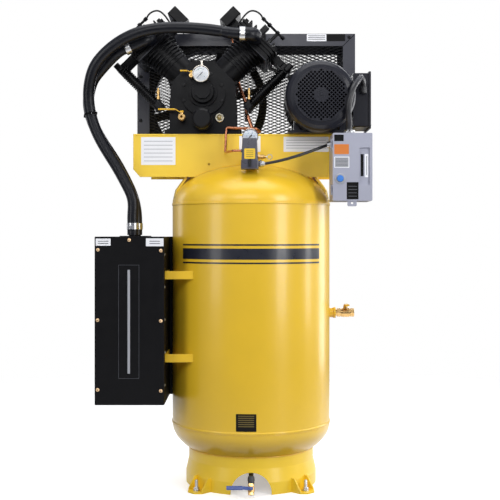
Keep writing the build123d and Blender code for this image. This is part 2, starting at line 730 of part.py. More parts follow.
save(cylinder_heads.part, "cylinder_heads")

with BuildPart() as pump_bolts:
    for side in SIDES:
        disc(
            bank(side, 0, PLATE_ALONG + 0.5), 5, HEAD_TOP - PLATE_ALONG - 0.5, at=HEAD_BOLTS
        )
        prism(bank(side, 0, HEAD_TOP), 8.5, 6, 9, at=HEAD_BOLTS)
        # four nuts at the foot of each cylinder
        for y in CYL_Y:
            prism(
                bank(side, y, BASE_ALONG + BARREL_FLANGE_T), 7.5, 6, 8, at=corners(96, 118)
            )
    # bearing cover bolts
    with BuildSketch(pump_front(CASE_Y0 - BEARING_COVER_T)):
        with PolarLocations(COVER_BOLT_R, COVER_BOLT_COUNT, start_angle=COVER_BOLT_START):
            RegularPolygon(6.5, 6)
    extrude(amount=6)
    with BuildSketch(pump_front(CASE_Y0 - 0.5)):
        with PolarLocations(COVER_BOLT_R, COVER_BOLT_COUNT, start_angle=COVER_BOLT_START):
            Circle(4)
    extrude(amount=BEARING_COVER_T - 0.5)
    # hold-down bolts
    prism(up(DECK_Z + FLANGE_T, PUMP_X, CASE_CY), 10, 6, 9, at=FOOT_BOLTS)
    disc(up(DECK_Z, PUMP_X, CASE_CY), 6, FLANGE_T, at=FOOT_BOLTS)
save(pump_bolts.part, "pump_bolts")

# ---------------------------------------------------------------- intercoolers, valves, tubes
COOLER_INWARD = -152  # outside the bank
RELIEF_OFFSET_X, RELIEF_Y, RELIEF_Z = 175, -40, 1474
with BuildPart() as intercoolers:
    for side in SIDES:
        for y in (-10.0, 40.0):
            disc(bank(side, y, 104, COOLER_INWARD), 13.5, 182)
            for i in range(20):
                disc(bank(side, y, 108 + 8.8 * i, COOLER_INWARD), 19.5, 3.4)
        # return header at the foot and inlet header at the head
        slab(bank(side, 6, 84, COOLER_INWARD), 114, 36, 20, corner=8)
        slab(bank(side, 15, 284, COOLER_INWARD + 2), 96, 40, 26, corner=6)
        slab(bank(side, -45, 290, COOLER_INWARD - 6), 24, 24, 30, corner=8)
        # upright boss that carries the relief valve
        disc(up(RELIEF_Z - 22, PUMP_X + side * RELIEF_OFFSET_X, RELIEF_Y), 9, 22)
save(intercoolers.part, "intercoolers")

SAFETY_Y, SAFETY_Z = -185, 1241
with BuildPart() as relief_valves:
    for side in SIDES:
        valve_x = PUMP_X + side * RELIEF_OFFSET_X
        prism(up(RELIEF_Z, valve_x, RELIEF_Y), 8.5, 6, 8)
        # body, cap and tip: bottom z, height, radius
        for z, height, radius in ((1482, 14, 6.5), (1496, 12, 7.5), (1508, 10, 4.5)):
            disc(up(z, valve_x, RELIEF_Y), radius, height)
    # tank safety valve, on the right of the manifold
    prism(right(24, SAFETY_Y, SAFETY_Z), 11, 6, 10)
    disc(right(34, SAFETY_Y, SAFETY_Z), 8.5, 14)
    disc(right(48, SAFETY_Y, SAFETY_Z), 6, 6)
    disc(right(36, SAFETY_Y, SAFETY_Z), 3.05, 30, mode=CUT)
save(relief_valves.part, "relief_valves")

# right-hand discharge box, behind the bank, down to the check valve: x, y, z
MAIN_DISCHARGE = (
    (-81, 150, 1804), (-81, 188, 1804), (-51, 188, 1567), (-20, 188, 1489),
    (-18, 120, 1412), (-14, -45, 1412), (6, -60, 1356),
)
# check valve to the unloader of the pressure switch: x, y, z
UNLOADER_LINE = (
    (20, -60, 1347), (37, -70, 1346), (22, -102, 1354), (-94, -110, 1358),
    (-98, -114, 1264), (-84, -190, 1260), (-66, -235, 1260), (-37, -235, 1260),
)
with BuildPart() as discharge_tube:
    tube(bent_path(14, *MAIN_DISCHARGE), 7.5)
    tube(bent_path(7, *UNLOADER_LINE), 4.5)
save(discharge_tube.part, "discharge_tube")

UNLOADER_Y = 50
UNLOADER_ROD_ALONG, UNLOADER_ROD_INWARD = 385, 62
# loop over the top of the head: along, inward
PILOT_LOOP = (
    (UNLOADER_ROD_ALONG, UNLOADER_ROD_INWARD), (388, 90), (374, 113), (345, 119), (306, 112),
)
with BuildPart() as unloader_tubes:
    for side in SIDES:
        # unloader towers on each head and the rod that joins them
        tower_along = HEAD_TOP + HEAD_FIN_H
        slab(bank(side, UNLOADER_Y, tower_along, 24), 28, 24, 48, corner=4)
        disc(bank(side, UNLOADER_Y, tower_along, -24), 7, 60)
        disc(bank_outward(side, UNLOADER_Y, UNLOADER_ROD_ALONG, UNLOADER_ROD_INWARD), 5, 116)
        # hexagons on the rod: distance from its inner end, radius, length
        for distance, radius, length in ((0, 8, 14), (34, 9, 12), (78, 9, 12), (106, 8, 14)):
            inward = UNLOADER_ROD_INWARD - distance
            prism(
                bank_outward(side, UNLOADER_Y, UNLOADER_ROD_ALONG, inward), radius, 6, length
            )
        loop_points = [bank_point(side, UNLOADER_Y, *station) for station in PILOT_LOOP]
        tube(smooth_path(*loop_points), 3.4)
    # cross tube between the two discharge boxes
    disc(right(-255.5, 75, 1775), 6, 145)
save(unloader_tubes.part, "unloader_tubes")

# ---------------------------------------------------------------- gauges
OIL_X, OIL_Y, OIL_Z = -187.0, -153.0, 1552.0
TANK_GAUGE_X, TANK_GAUGE_Y = -3.0, -170.0
COCK_X = -226
GAUGES = (  # name, x, back y, z, bezel radius
    ("oil", OIL_X, OIL_Y, OIL_Z, 33.0),
    ("tank", TANK_GAUGE_X, TANK_GAUGE_Y, 1316.0, 31.5),
)
with BuildPart() as gauge_cases:
    for name, x, y, z, bezel_r in GAUGES:
        disc(front(y, x, z), bezel_r - 3, 20)
        disc(front(y - 20, x, z), bezel_r, 10)
        disc(front(y - 18, x, z), bezel_r - 5, 20, mode=CUT)
        # stepped pivot for the needle
        disc(front(y - 18, x, z), 2.4, 2)
        disc(front(y - 20, x, z), 1.2, 4.5)
    # oil gauge pipe: from its back, across to the isolation cock
    disc(front(OIL_Y, OIL_X, OIL_Z), 6, -14)
    disc(right(COCK_X, -147, OIL_Z), 6, OIL_X - COCK_X + 6)
    # brass vent on top of the oil gauge
    disc(up(OIL_Z + 28, OIL_X + 2, OIL_Y - 10), 4.5, 16)
    disc(up(OIL_Z + 44, OIL_X + 2, OIL_Y - 10), 6, 6)
    # stem under the tank gauge
    disc(up(1283, TANK_GAUGE_X, TANK_GAUGE_Y - 10), 6, 8)
save(gauge_cases.part, "gauge_cases")

for name, x, y, z, bezel_r in GAUGES:
    tip_x = -bezel_r + 10
    with BuildPart() as needle:
        # drawn level about the origin, then turned to the zero end of the scale, lower left
        with BuildSketch(front(y - 22.2)):
            with BuildLine():
                Polyline(
                    (0, -1.6), (tip_x, -0.5), (tip_x, 0.5), (0, 1.6), (9, 2.2), (9, -2.2),
                    close=True,
                )
            make_face()
            Circle(3.2)
            Circle(1.25, mode=CUT)
        extrude(amount=1.4)
    turned = needle.part.rotate(Axis((0, 0, 0), (0, -1, 0)), 45)
    with BuildPart() as placed:
        add(turned.moved(Location((x, 0, z))))
    save(placed.part, name + "_gauge_needle")

# ---------------------------------------------------------------- motor
FRAME_Y0, FRAME_Y1 = -150.0, 112.0
FRAME_R, FRAME_BORE_R = 118, 110
with BuildPart() as motor_frame:
    with BuildSketch(motor_front(FRAME_Y0)):
        Circle(FRAME_R)
        with PolarLocations(FRAME_R, 40):
            Rectangle(20, 3.4)
    extrude(amount=-(FRAME_Y1 - FRAME_Y0))
    # mounting feet: base and uprights, parted in the middle, then drilled
    with BuildSketch(front(-140, MOTOR_X, DECK_Z)):
        with Locations((0, 5)):
            Rectangle(236, 10)
        with Locations((-86, 34), (86, 34)):
            Rectangle(20, 60)
    extrude(amount=-240)
    slab(up(DECK_Z, MOTOR_X, -19), 240, 132, 60, mode=CUT)
    disc(up(DECK_Z, MOTOR_X, -19), 6, 12, at=corners(208, 222), mode=CUT)
    # pad for the terminal box
    slab(right(MOTOR_X + 108, 25, MOTOR_Z + 7), 90, 90, 27, corner=8)
    disc(motor_front(FRAME_Y0), FRAME_BORE_R, -(FRAME_Y1 - FRAME_Y0), mode=CUT)
save(motor_frame.part, "motor_frame")

SHAFT_HOLE_R = MOTOR_SHAFT_R + 0.1
with BuildPart() as motor_end_bells:
    for y, outward in ((FRAME_Y0, 1), (FRAME_Y1, -1)):
        # spigot flange, raised centre, inner plate and the spigot in the frame
        disc(motor_front(y), 121, outward * 10, bore=60)
        disc(motor_front(y - outward * 10), 88, outward * 12, bore=SHAFT_HOLE_R, taper=14)
        disc(motor_front(y), 60, outward * 10, bore=SHAFT_HOLE_R)
        disc(motor_front(y), FRAME_BORE_R - 0.1, -outward * 12, bore=100)
save(motor_end_bells.part, "motor_end_bells")

FAN_COVER_Y0 = -236.0
# section of the cover: radius, distance behind its front face
FAN_COVER_OUTLINE = (
    (0, 0), (98, 0), (98, 3), (112, 8), (124, 18), (130, 32), (131, 90),
    (128.4, 90), (127.4, 33), (121.8, 20), (110.5, 10.6), (97, 6), (96, 3), (0, 3),
)
HOLE_PITCH = 15.0
with BuildPart() as cover_turning:
    with BuildSketch(Plane.XZ):
        with BuildLine():
            Polyline(*FAN_COVER_OUTLINE, close=True)
        make_face()
    revolve(axis=Axis((0, 0, 0), (0, 0, 1)))
cover_in_place = cover_turning.part.rotate(Axis((0, 0, 0), (1, 0, 0)), -90).moved(
    Location((MOTOR_X, FAN_COVER_Y0, MOTOR_Z))
)
# staggered grid of holes between the centre and the rim
grille_points = []
for i in range(-8, 9):
    for j in range(-16, 17):
        x = i * HOLE_PITCH + (HOLE_PITCH / 2 if j % 2 else 0)
        z = j * HOLE_PITCH / 2
        if 25 < math.hypot(x, z) < 91:
            grille_points.append((x, z))
with BuildPart() as grille_tool:
    with BuildSketch(motor_front(FAN_COVER_Y0 - 2)):
        with Locations(*grille_points):
            Rectangle(7.6, 7.6, rotation=45)
    extrude(amount=-8)
with BuildPart() as motor_fan_cover:
    add(cover_in_place)
    add(grille_tool.part, mode=CUT)
    # raised cross in the middle
    with BuildSketch(motor_front(FAN_COVER_Y0)):
        Rectangle(14, 3, rotation=45)
        Rectangle(14, 3, rotation=-45)
    extrude(amount=1.5)
save(motor_fan_cover.part, "motor_fan_cover")

CORE_Y0, CORE_Y1 = -95, 55
with BuildPart() as motor_stator:
    disc(motor_front(CORE_Y0), FRAME_BORE_R, -(CORE_Y1 - CORE_Y0), bore=72)
    # windings beyond each end of the core
    disc(motor_front(CORE_Y0), 98, 26, bore=76)
    disc(motor_front(CORE_Y1), 98, -26, bore=76)
save(motor_stator.part, "motor_stator")

with BuildPart() as motor_rotor:
    # shaft steps and core: front y, back y, radius
    for y0, y1, radius in (
        (-212, -160, 14), (-160, CORE_Y0, MOTOR_SHAFT_R),
        (CORE_Y0, CORE_Y1, 71), (CORE_Y1, 275, MOTOR_SHAFT_R),
    ):
        disc(motor_front(y0), radius, -(y1 - y0))
    # cooling fan
    disc(motor_front(-182), 92, -4)
    with BuildSketch(motor_front(-210)):
        with PolarLocations(66, 8):
            Rectangle(50, 4)
        Circle(26)
    extrude(amount=-29)
save(motor_rotor.part, "motor_rotor")

with BuildPart() as motor_sheave:
    disc(motor_front(FLY_Y0 + 2), SHEAVE_R, -(FLY_Y1 - FLY_Y0 - 4), bore=MOTOR_SHAFT_R)
    # ring recess in the back face
    disc(motor_front(FLY_Y1 - 14), 64, -30, bore=32, mode=CUT)
    cut_belt_grooves(MOTOR_X, MOTOR_Z, SHEAVE_R)
save(motor_sheave.part, "motor_sheave")

TERM_X0, TERM_X1, TERM_Y0, TERM_Y1, TERM_Z0, TERM_Z1 = 392.0, 452.0, -60.0, 110.0, 1366.0, 1574.0
TERM_CY, TERM_CZ = (TERM_Y0 + TERM_Y1) / 2, (TERM_Z0 + TERM_Z1) / 2
TERM_W, TERM_H, TERM_DEPTH = TERM_Y1 - TERM_Y0, TERM_Z1 - TERM_Z0, TERM_X1 - TERM_X0
TERM_WALL = 3
with BuildPart() as terminal_box:
    slab(right(TERM_X0, TERM_CY, TERM_CZ), TERM_W, TERM_H, TERM_DEPTH, corner=6)
    slab(
        right(TERM_X0 + TERM_WALL, TERM_CY, TERM_CZ),
        TERM_W - 2 * TERM_WALL, TERM_H - 2 * TERM_WALL, TERM_DEPTH, corner=4, mode=CUT,
    )
    # lid, overlapping the rim, standing off by the gasket line
    slab(right(TERM_X1 + 0.05, TERM_CY, TERM_CZ), TERM_W + 10, TERM_H + 12, 8, corner=7)
save(terminal_box.part, "terminal_box")

with BuildPart() as v_belts:
    for belt_y in BELT_Y:
        # outer loop, then the inside cut away: width, depth below the pulley rims, mode
        for width, depth, mode in (
            (17, 1, Mode.ADD), (GROOVE_W, GROOVE_DEPTH - 0.05, CUT),
        ):
            with BuildSketch(front(belt_y - width / 2)):
                with Locations((PUMP_X, PUMP_Z)):
                    Circle(FLY_R - depth)
                with Locations((MOTOR_X, MOTOR_Z)):
                    Circle(SHEAVE_R - depth)
                make_hull()
            extrude(amount=-width, mode=mode)
save(v_belts.part, "v_belts")

# ---------------------------------------------------------------- belt guard
GUARD_X0, GUARD_X1, GUARD_Z0, GUARD_Z1 = -466.0, 427.0, 1230.0, 1776.0
GUARD_Y0, GUARD_Y1 = 200.0, 322.0
GUARD_CX, GUARD_CZ = (GUARD_X0 + GUARD_X1) / 2, (GUARD_Z0 + GUARD_Z1) / 2
GUARD_W, GUARD_H = GUARD_X1 - GUARD_X0, GUARD_Z1 - GUARD_Z0
FRAME_T, FRAME_STEP = 3, 3.05  # bar thickness, and the same with clearance
MESH_T, MESH_INSET = 2, 6
with BuildPart() as guard_frames:
    # front frame of flat bars
    slab(front(GUARD_Y0, GUARD_CX, GUARD_CZ), GUARD_W, GUARD_H, -FRAME_T, rim=50)
    # stand-off blocks on the rear apron of the platform
    slab(front(DECK_Y1), 40, 40, -(GUARD_Y0 - DECK_Y1), at=((-300, 1255), (300, 1255)))
    # rear tray: side walls and rear frame
    slab(
        front(GUARD_Y0 + FRAME_STEP, GUARD_CX, GUARD_CZ),
        GUARD_W, GUARD_H, -(GUARD_Y1 - GUARD_Y0 - FRAME_STEP), rim=2.5,
    )
    slab(front(GUARD_Y1, GUARD_CX, GUARD_CZ), GUARD_W, GUARD_H, FRAME_T, rim=65)
save(guard_frames.part, "guard_frames")

with BuildPart() as guard_mesh:
    # mesh, as plain sheets, behind the front frame and inside the rear frame
    mesh_w, mesh_h = GUARD_W - 2 * MESH_INSET, GUARD_H - 2 * MESH_INSET
    with BuildSketch(front(GUARD_Y0 + FRAME_STEP)):
        with Locations((GUARD_CX, GUARD_CZ)):
            Rectangle(mesh_w, mesh_h)
        with Locations((PUMP_X, PUMP_Z)):
            Circle(52, mode=CUT)
        with Locations((MOTOR_X, MOTOR_Z)):
            Circle(34, mode=CUT)
    extrude(amount=-MESH_T)
    slab(front(GUARD_Y1 - FRAME_STEP, GUARD_CX, GUARD_CZ), mesh_w, mesh_h, MESH_T)
save(guard_mesh.part, "guard_mesh")

# ---------------------------------------------------------------- starter
BOX_X0, BOX_X1, BOX_Y0, BOX_Y1, BOX_Z0, BOX_Z1 = 298.0, 443.0, -250.0, -90.0, 1076.0, 1324.0
BOX_CX, BOX_CZ = (BOX_X0 + BOX_X1) / 2, (BOX_Z0 + BOX_Z1) / 2
BOX_W, BOX_H = BOX_X1 - BOX_X0, BOX_Z1 - BOX_Z0
BOX_WALL = 2
DOOR_Y = BOX_Y0 + 10
HINGE_X, HINGE_Y = BOX_X0 - 4, DOOR_Y + 1
KNUCKLE_L = 20
KNUCKLE_Z = (BOX_Z0 + 30, BOX_Z1 - 50)
with BuildPart() as starter_box:
    slab(front(BOX_Y1, BOX_CX, BOX_CZ), BOX_W, BOX_H, BOX_Y1 - DOOR_Y, corner=4)
    slab(
        front(BOX_Y1 - BOX_WALL, BOX_CX, BOX_CZ),
        BOX_W - 2 * BOX_WALL, BOX_H - 2 * BOX_WALL, BOX_Y1 - DOOR_Y, corner=2.5, mode=CUT,
    )
    # hinge knuckles on the left edge
    for z in KNUCKLE_Z:
        with BuildSketch(up(z)):
            with Locations((HINGE_X, HINGE_Y)):
                Circle(3.4)
                Circle(1.55, mode=CUT)
            with Locations((BOX_X0 - 0.8, DOOR_Y + 6)):
                Rectangle(2, 8)
        extrude(amount=KNUCKLE_L)
save(starter_box.part, "starter_box")

BUTTON_XZ = (325.0, 1157.0)
BUTTON_R = 12
PULL_XZ = (414.5, 1202)
with BuildPart() as starter_door:
    slab(front(DOOR_Y - 0.3, BOX_CX, BOX_CZ), BOX_W, BOX_H, 9.7, corner=4)
    slab(front(DOOR_Y - 0.3, BOX_CX, BOX_CZ), BOX_W - 5, BOX_H - 5, 7.2, corner=3, mode=CUT)
    # recessed pull on the free edge
    slab(front(BOX_Y0, *PULL_XZ), 44, 142, -9, corner=5)
    slab(front(BOX_Y0, *PULL_XZ), 38, 136, -7, corner=4, mode=CUT)
    # bushing for the reset button
    disc(front(BOX_Y0, *BUTTON_XZ), 18, 2.5)
    disc(front(BOX_Y0 + 10, *BUTTON_XZ), BUTTON_R + 0.05, 20, mode=CUT)
    # hasp tab below the lower edge
    with BuildSketch(front(DOOR_Y - 4, 369, BOX_Z0 - 8)):
        RectangleRounded(34, 24, 5)
        Circle(4.5, mode=CUT)
    extrude(amount=3)
    # hinge pins, with a door knuckle at each end
    for z in KNUCKLE_Z:
        disc(up(z - 8, HINGE_X, HINGE_Y), 1.5, 36)
        for door_knuckle_z in (z - 8, z + KNUCKLE_L + 0.5):
            with BuildSketch(up(door_knuckle_z)):
                with Locations((HINGE_X, HINGE_Y)):
                    Circle(3.2)
                with Locations((BOX_X0 - 1.6, DOOR_Y - 3)):
                    Rectangle(5, 5)
            extrude(amount=7.5)
save(starter_door.part, "starter_door")

with BuildPart() as reset_button:
    disc(front(BOX_Y0 + 4, *BUTTON_XZ), BUTTON_R, 13)
    fillet(reset_button.faces().sort_by(Axis.Y)[0].edges(), 2)
save(reset_button.part, "reset_button")

CONTACTOR_X, CONTACTOR_Z = BOX_CX - 10, 1258
with BuildPart() as contactor:
    # upper and lower blocks on the back wall of the box
    slab(front(BOX_Y1 - BOX_WALL, CONTACTOR_X, CONTACTOR_Z), 80, 92, 86)
    slab(front(BOX_Y1 - BOX_WALL, CONTACTOR_X, 1170), 76, 70, 74)
    # two rows of terminal posts
    slab(
        front(BOX_Y1 - 60, CONTACTOR_X), 12, 8, 12,
        at=[(x, z) for z in (1306, 1209) for x in (-24, 0, 24)],
    )
    # raised block on the front face
    slab(front(BOX_Y1 - 88, CONTACTOR_X, CONTACTOR_Z), 40, 30, 10)
save(contactor.part, "contactor")

# ---------------------------------------------------------------- pressure switch and manifold
SW_X0, SW_X1, SW_Y0, SW_Y1, SW_Z0, SW_Z1 = -36.0, 26.0, -265.0, -205.0, 1192.0, 1305.0
SW_CX, SW_CY = (SW_X0 + SW_X1) / 2, (SW_Y0 + SW_Y1) / 2
SW_W, SW_D = SW_X1 - SW_X0, SW_Y1 - SW_Y0
SW_BASE_H = 32
SW_CONDUIT_Z = 1212
with BuildPart() as pressure_switch:
    # diaphragm base
    slab(up(SW_Z0, SW_CX, SW_CY), SW_W + 2, SW_D, SW_BASE_H, corner=6)
    # tall cover, slightly drawn in towards the top
    slab(
        up(SW_Z0 + SW_BASE_H, SW_CX, SW_CY),
        SW_W - 2, SW_D - 3, SW_Z1 - SW_Z0 - SW_BASE_H, corner=7, taper=2.2,
    )
    fillet(pressure_switch.faces().sort_by(Axis.Z)[-1].edges(), 5)
    # slot for the on/off lever
    slab(front(SW_Y0, SW_CX, SW_Z0 + 21), 12, 32, -14, corner=4, mode=CUT)
    # connector bosses
    disc(right(SW_X1, SW_CY, SW_CONDUIT_Z), 11, 6)
    disc(right(SW_X0 - 1, SW_CY, 1260), 6, 8)
save(pressure_switch.part, "pressure_switch")

with BuildPart() as switch_lever:
    # toggles left and right about a pivot that lies front to back in the slot
    disc(front(SW_Y0 + 12, SW_CX, SW_Z0 + 30), 4.2, 16)
    slab(front(SW_Y0 - 1, SW_CX, SW_Z0 + 21), 6.5, 26, 5, corner=3)
save(switch_lever.part, "switch_lever")

with BuildPart() as tank_manifold:
    # riser from the dome and the block with its front port
    disc(up(1190, *RISER_XY), 14, 24)
    slab(up(1212, 0, -167), 46, 66, 71, corner=5)
    disc(front(-199, -2, 1236), 11, 6)
    # check valve riser below the discharge tube
    disc(up(1200, *CHECK_VALVE_XY), 10, 140)
    prism(up(1338, *CHECK_VALVE_XY), 14, 6, 10)
    prism(up(1348, *CHECK_VALVE_XY), 11.5, 6, 8)
    add(vessel_form.part, mode=CUT)
    add(discharge_tube.part, mode=CUT)
save(tank_manifold.part, "tank_manifold")

with BuildPart() as safety_pull_ring:
    # stem inside the valve and the split ring on its end
    disc(right(38, SAFETY_Y, SAFETY_Z), 3, 22)
    with BuildSketch(front(SAFETY_Y, 69, SAFETY_Z)):
        Circle(10.5)
        Circle(8, mode=CUT)
    extrude(amount=1.3, both=True)
save(safety_pull_ring.part, "safety_pull_ring")

# ---------------------------------------------------------------- ball valves
DRAIN_DIR = (0, -0.414, -0.9103)
# centre, flow direction, stem direction, half length, end radius, middle radius,
# ball radius, bore radius
VALVES = {
    "outlet": ((368, 0, OUTLET_Z), (1, 0, 0), (0, 0, 1), 33, 15.0, 17.5, 12.0, 7.0),
    "drain": ((0, -286.9, 31.24), DRAIN_DIR, (0, -0.9103, 0.414), 20, 10.0, 12.5, 8.0, 4.5),
    "oil_drain": ((-262, -114, 1396), (0, -1, 0), (0, 0, 1), 29, 11.5, 13.5, 8.5, 5.0),
    "gauge_cock": ((COCK_X, -120.5, OIL_Z), (0, -1, 0), (0, 0, 1), 20.5, 7.0, 8.0, 4.8, 2.5),
}
STEM_RATIO = 0.26  # stem radius over middle radius
END_HEX_RATIO, END_L_RATIO = 1.12, 0.42  # octagon over end radius, length over half length
with BuildPart() as valve_bodies:
    for centre, flow, stem, half_l, end_r, mid_r, ball_r, bore_r in VALVES.values():
        middle, flow_dir = Vector(*centre), Vector(*flow)
        disc(Plane(origin=middle - flow_dir * half_l, z_dir=flow), end_r, 2 * half_l)
        # octagonal ends
        for start in (-half_l, half_l * (1 - END_L_RATIO)):
            prism(
                Plane(origin=middle + flow_dir * start, x_dir=stem, z_dir=flow),
                end_r * END_HEX_RATIO, 8, half_l * END_L_RATIO,
            )
        disc(Plane(origin=middle - flow_dir * half_l * 0.45, z_dir=flow), mid_r, half_l * 0.9)
        # stem neck, then the flow bore and the stem bore
        stem_plane = Plane(origin=middle, z_dir=stem)
        disc(stem_plane, mid_r * 0.5, mid_r + 5)
        disc(
            Plane(origin=middle - flow_dir * (half_l + 1), z_dir=flow),
            bore_r, 2 * half_l + 2, mode=CUT,
        )
        disc(stem_plane, mid_r * STEM_RATIO + 0.05, mid_r + 6, mode=CUT)
    for centre, flow, stem, half_l, end_r, mid_r, ball_r, bore_r in VALVES.values():
        with Locations(centre):
            Sphere(ball_r + 0.05, mode=CUT)
    # nipple between the tank bung and the outlet valve
    disc(right(301, z=OUTLET_Z), 12.9, 35, bore=8)
    # threaded outlet end, shown as a plain bore
    disc(right(385, z=OUTLET_Z), 9.9, 20, mode=CUT)
save(valve_bodies.part, "valve_bodies")

LEVERS = {  # arm direction at rest, arm length, arm width, grip length
    "outlet": ((0, -1, 0), 74, 14, 44),
    "drain": ((-1, 0, 0), 86, 12, 58),
    "oil_drain": ((-1, 0, 0), 86, 12, 62),
    "gauge_cock": ((-1, 0, 0), 39, 7, 26),
}
ARM_T = 3
for key, (arm, length, width, grip) in LEVERS.items():
    centre, flow, stem, half_l, end_r, mid_r, ball_r, bore_r = VALVES[key]
    middle, stem_dir, arm_dir = Vector(*centre), Vector(*stem), Vector(*arm)
    base = mid_r + 5.4
    rise = length * 0.12
    with BuildPart() as lever:
        # ball with its port square to the flow when the valve is shut
        with Locations(Plane(origin=middle, x_dir=arm, z_dir=stem)):
            Sphere(ball_r)
        disc(Plane(origin=middle, z_dir=stem), mid_r * STEM_RATIO, base + 4)
        disc(
            Plane(origin=middle - arm_dir * (ball_r + 1), z_dir=arm),
            bore_r, 2 * ball_r + 2, mode=CUT,
        )
        # cranked handle: hub, riser and grip
        with BuildSketch(Plane(origin=middle, x_dir=arm, z_dir=arm_dir.cross(stem_dir))):
            with BuildLine():
                Polyline(
                    (-width * 0.6, base),
                    (width * 0.7, base),
                    (length - grip, base + rise),
                    (length, base + rise),
                    (length, base + rise + ARM_T),
                    (length - grip - 1, base + rise + ARM_T),
                    (width * 0.7 - 1, base + ARM_T),
                    (-width * 0.6, base + ARM_T),
                    close=True,
                )
            make_face()
        extrude(amount=width / 2, both=True)
        # nut on the stem
        prism(Plane(origin=middle + stem_dir * (base + ARM_T), z_dir=stem), mid_r * 0.45, 6, 4)
        # moulded sleeve over the grip
        sleeve_start = (
            middle + arm_dir * (length - grip + 3) + stem_dir * (base + rise + ARM_T / 2)
        )
        slab(
            Plane(origin=sleeve_start, x_dir=stem_dir.cross(arm_dir), z_dir=arm),
            width + 3, 6, grip, corner=2.4,
        )
    save(lever.part, key + "_lever")

with BuildPart() as drain_pipe:
    tube(bent_path(12, (0, 0, 77), (0, 0, 60), (0, -262, 60)), 9)
    disc(front(-252, 0, 62), 13, 22)
    disc(Plane(origin=(0, -268, 72.7), z_dir=DRAIN_DIR), 12, 24)
    add(vessel_form.part, mode=CUT)
    add(valve_bodies.part, mode=CUT)
save(drain_pipe.part, "drain_pipe")

# ---------------------------------------------------------------- conduits
# starter to motor terminal box: x, y, z
MOTOR_WHIP = (
    (362, -216, BOX_Z1 + 12), (358, -234, 1378), (356, -251, 1415), (361, -254, 1450),
    (374, -244, 1489), (398, -190, 1525), (419, -118, 1544), (428, -88, 1533),
    (429, -76, 1514),
)
# pressure switch to starter: x, y, z
CONTROL_WHIP = (
    (46, SW_CY, SW_CONDUIT_Z), (150, -222, 1236), (235, -200, 1266), (284, -180, 1286),
)
with BuildPart() as conduits:
    # hub on top of the starter and the whip to the motor terminal box
    prism(up(BOX_Z1, 362, -216), 19, 8, 12)
    tube(smooth_path(*MOTOR_WHIP, tangents=((0, 0, 1), (0, 0, -1))), 10.5)
    disc(up(1494, 429, -76), 13, 22)
    disc(front(TERM_Y0, 429, 1504), 11, 16)
    # control whip from the pressure switch
    tube(smooth_path(*CONTROL_WHIP), 5.4)
    disc(right(SW_X1 + 6.05, SW_CY, SW_CONDUIT_Z), 9.5, 16)
    disc(right(282, -180, 1286), 11, BOX_X0 - 282)
save(conduits.part, "conduits")

# ---------------------------------------------------------------- pistons
# Each piston carries its rings and the upper part of its rod.
PISTON_L = 60
RING_OFFSETS = (12.0, 18.5, 25.0)  # from the wrist pin, towards the crown
RING_T, RING_DEPTH = 3, 3
WRIST_PIN_R = 10
for side, bank_name in zip(SIDES, ("left", "right")):
    for y, bore_r, pin_side, stage in zip(CYL_Y, BORE_R, PIN_SIDE, ("large", "small")):
        wrist = pin_side * THROW * DIAG + math.sqrt(ROD_L**2 - (THROW * DIAG) ** 2)
        stub_l = ROD_L - THROW - 73.0
        piston_r = bore_r - 0.05
        with BuildPart() as piston:
            disc(bank(side, y, wrist - PISTON_L / 2), piston_r, PISTON_L)
            disc(bank(side, y, wrist - PISTON_L / 2 - 1), piston_r - 7, 51, mode=CUT)
            # wrist pin right across the piston
            disc(bank_back(side, y - piston_r + 5, wrist), WRIST_PIN_R, 2 * piston_r - 10)
            for offset in RING_OFFSETS:
                disc(
                    bank(side, y, wrist + offset), piston_r + 1, RING_T,
                    bore=piston_r - RING_DEPTH, mode=CUT,
                )
        with BuildPart() as rod_stub:
            # the two rods on a crankpin lie side by side
            with BuildSketch(bank_back(side, y + 6 * side - ROD_T / 2, wrist)):
                Circle(17)
                with Locations((-stub_l / 2, 0)):
                    Rectangle(stub_l, 15)
                Circle(WRIST_PIN_R + 0.03, mode=CUT)
            extrude(amount=ROD_T)
        with BuildPart() as rings:
            for offset in RING_OFFSETS:
                disc(
                    bank(side, y, wrist + offset), bore_r - 0.02, RING_T,
                    bore=piston_r - RING_DEPTH,
                )
        save(
            Compound(children=[piston.part, rod_stub.part, *rings.part.solids()]),
            "piston_" + stage + "_" + bank_name,
        )
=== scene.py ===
"""Looks and small parts for an upright yellow receiver with a belt-driven pump on top.

Metres, +Z up. The receiver's axis is the Z axis and its feet stand on z = 0.
The front faces -Y; seen from the front, +X is on the right.
"""
import json
import math
import random

import bmesh
import bpy
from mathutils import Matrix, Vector, noise


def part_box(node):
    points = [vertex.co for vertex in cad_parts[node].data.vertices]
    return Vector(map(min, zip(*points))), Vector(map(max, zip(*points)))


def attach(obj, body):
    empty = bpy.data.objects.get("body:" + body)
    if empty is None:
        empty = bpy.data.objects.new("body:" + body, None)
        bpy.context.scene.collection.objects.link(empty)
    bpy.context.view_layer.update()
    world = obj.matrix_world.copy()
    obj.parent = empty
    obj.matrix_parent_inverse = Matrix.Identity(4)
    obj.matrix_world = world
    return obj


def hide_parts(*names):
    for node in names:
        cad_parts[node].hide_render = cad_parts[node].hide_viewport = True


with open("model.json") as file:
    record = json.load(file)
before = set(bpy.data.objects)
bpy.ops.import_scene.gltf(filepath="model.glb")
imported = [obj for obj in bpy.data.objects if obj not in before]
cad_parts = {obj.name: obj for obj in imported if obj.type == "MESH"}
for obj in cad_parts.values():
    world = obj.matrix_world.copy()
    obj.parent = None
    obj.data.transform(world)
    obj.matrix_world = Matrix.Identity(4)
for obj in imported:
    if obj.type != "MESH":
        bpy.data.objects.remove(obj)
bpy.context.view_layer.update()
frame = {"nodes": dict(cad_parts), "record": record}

SCENE = bpy.context.scene
random.seed(7)

FRONT, BACK = (0, -1, 0), (0, 1, 0)
LEFT, RIGHT = (-1, 0, 0), (1, 0, 0)
UP = (0, 0, 1)

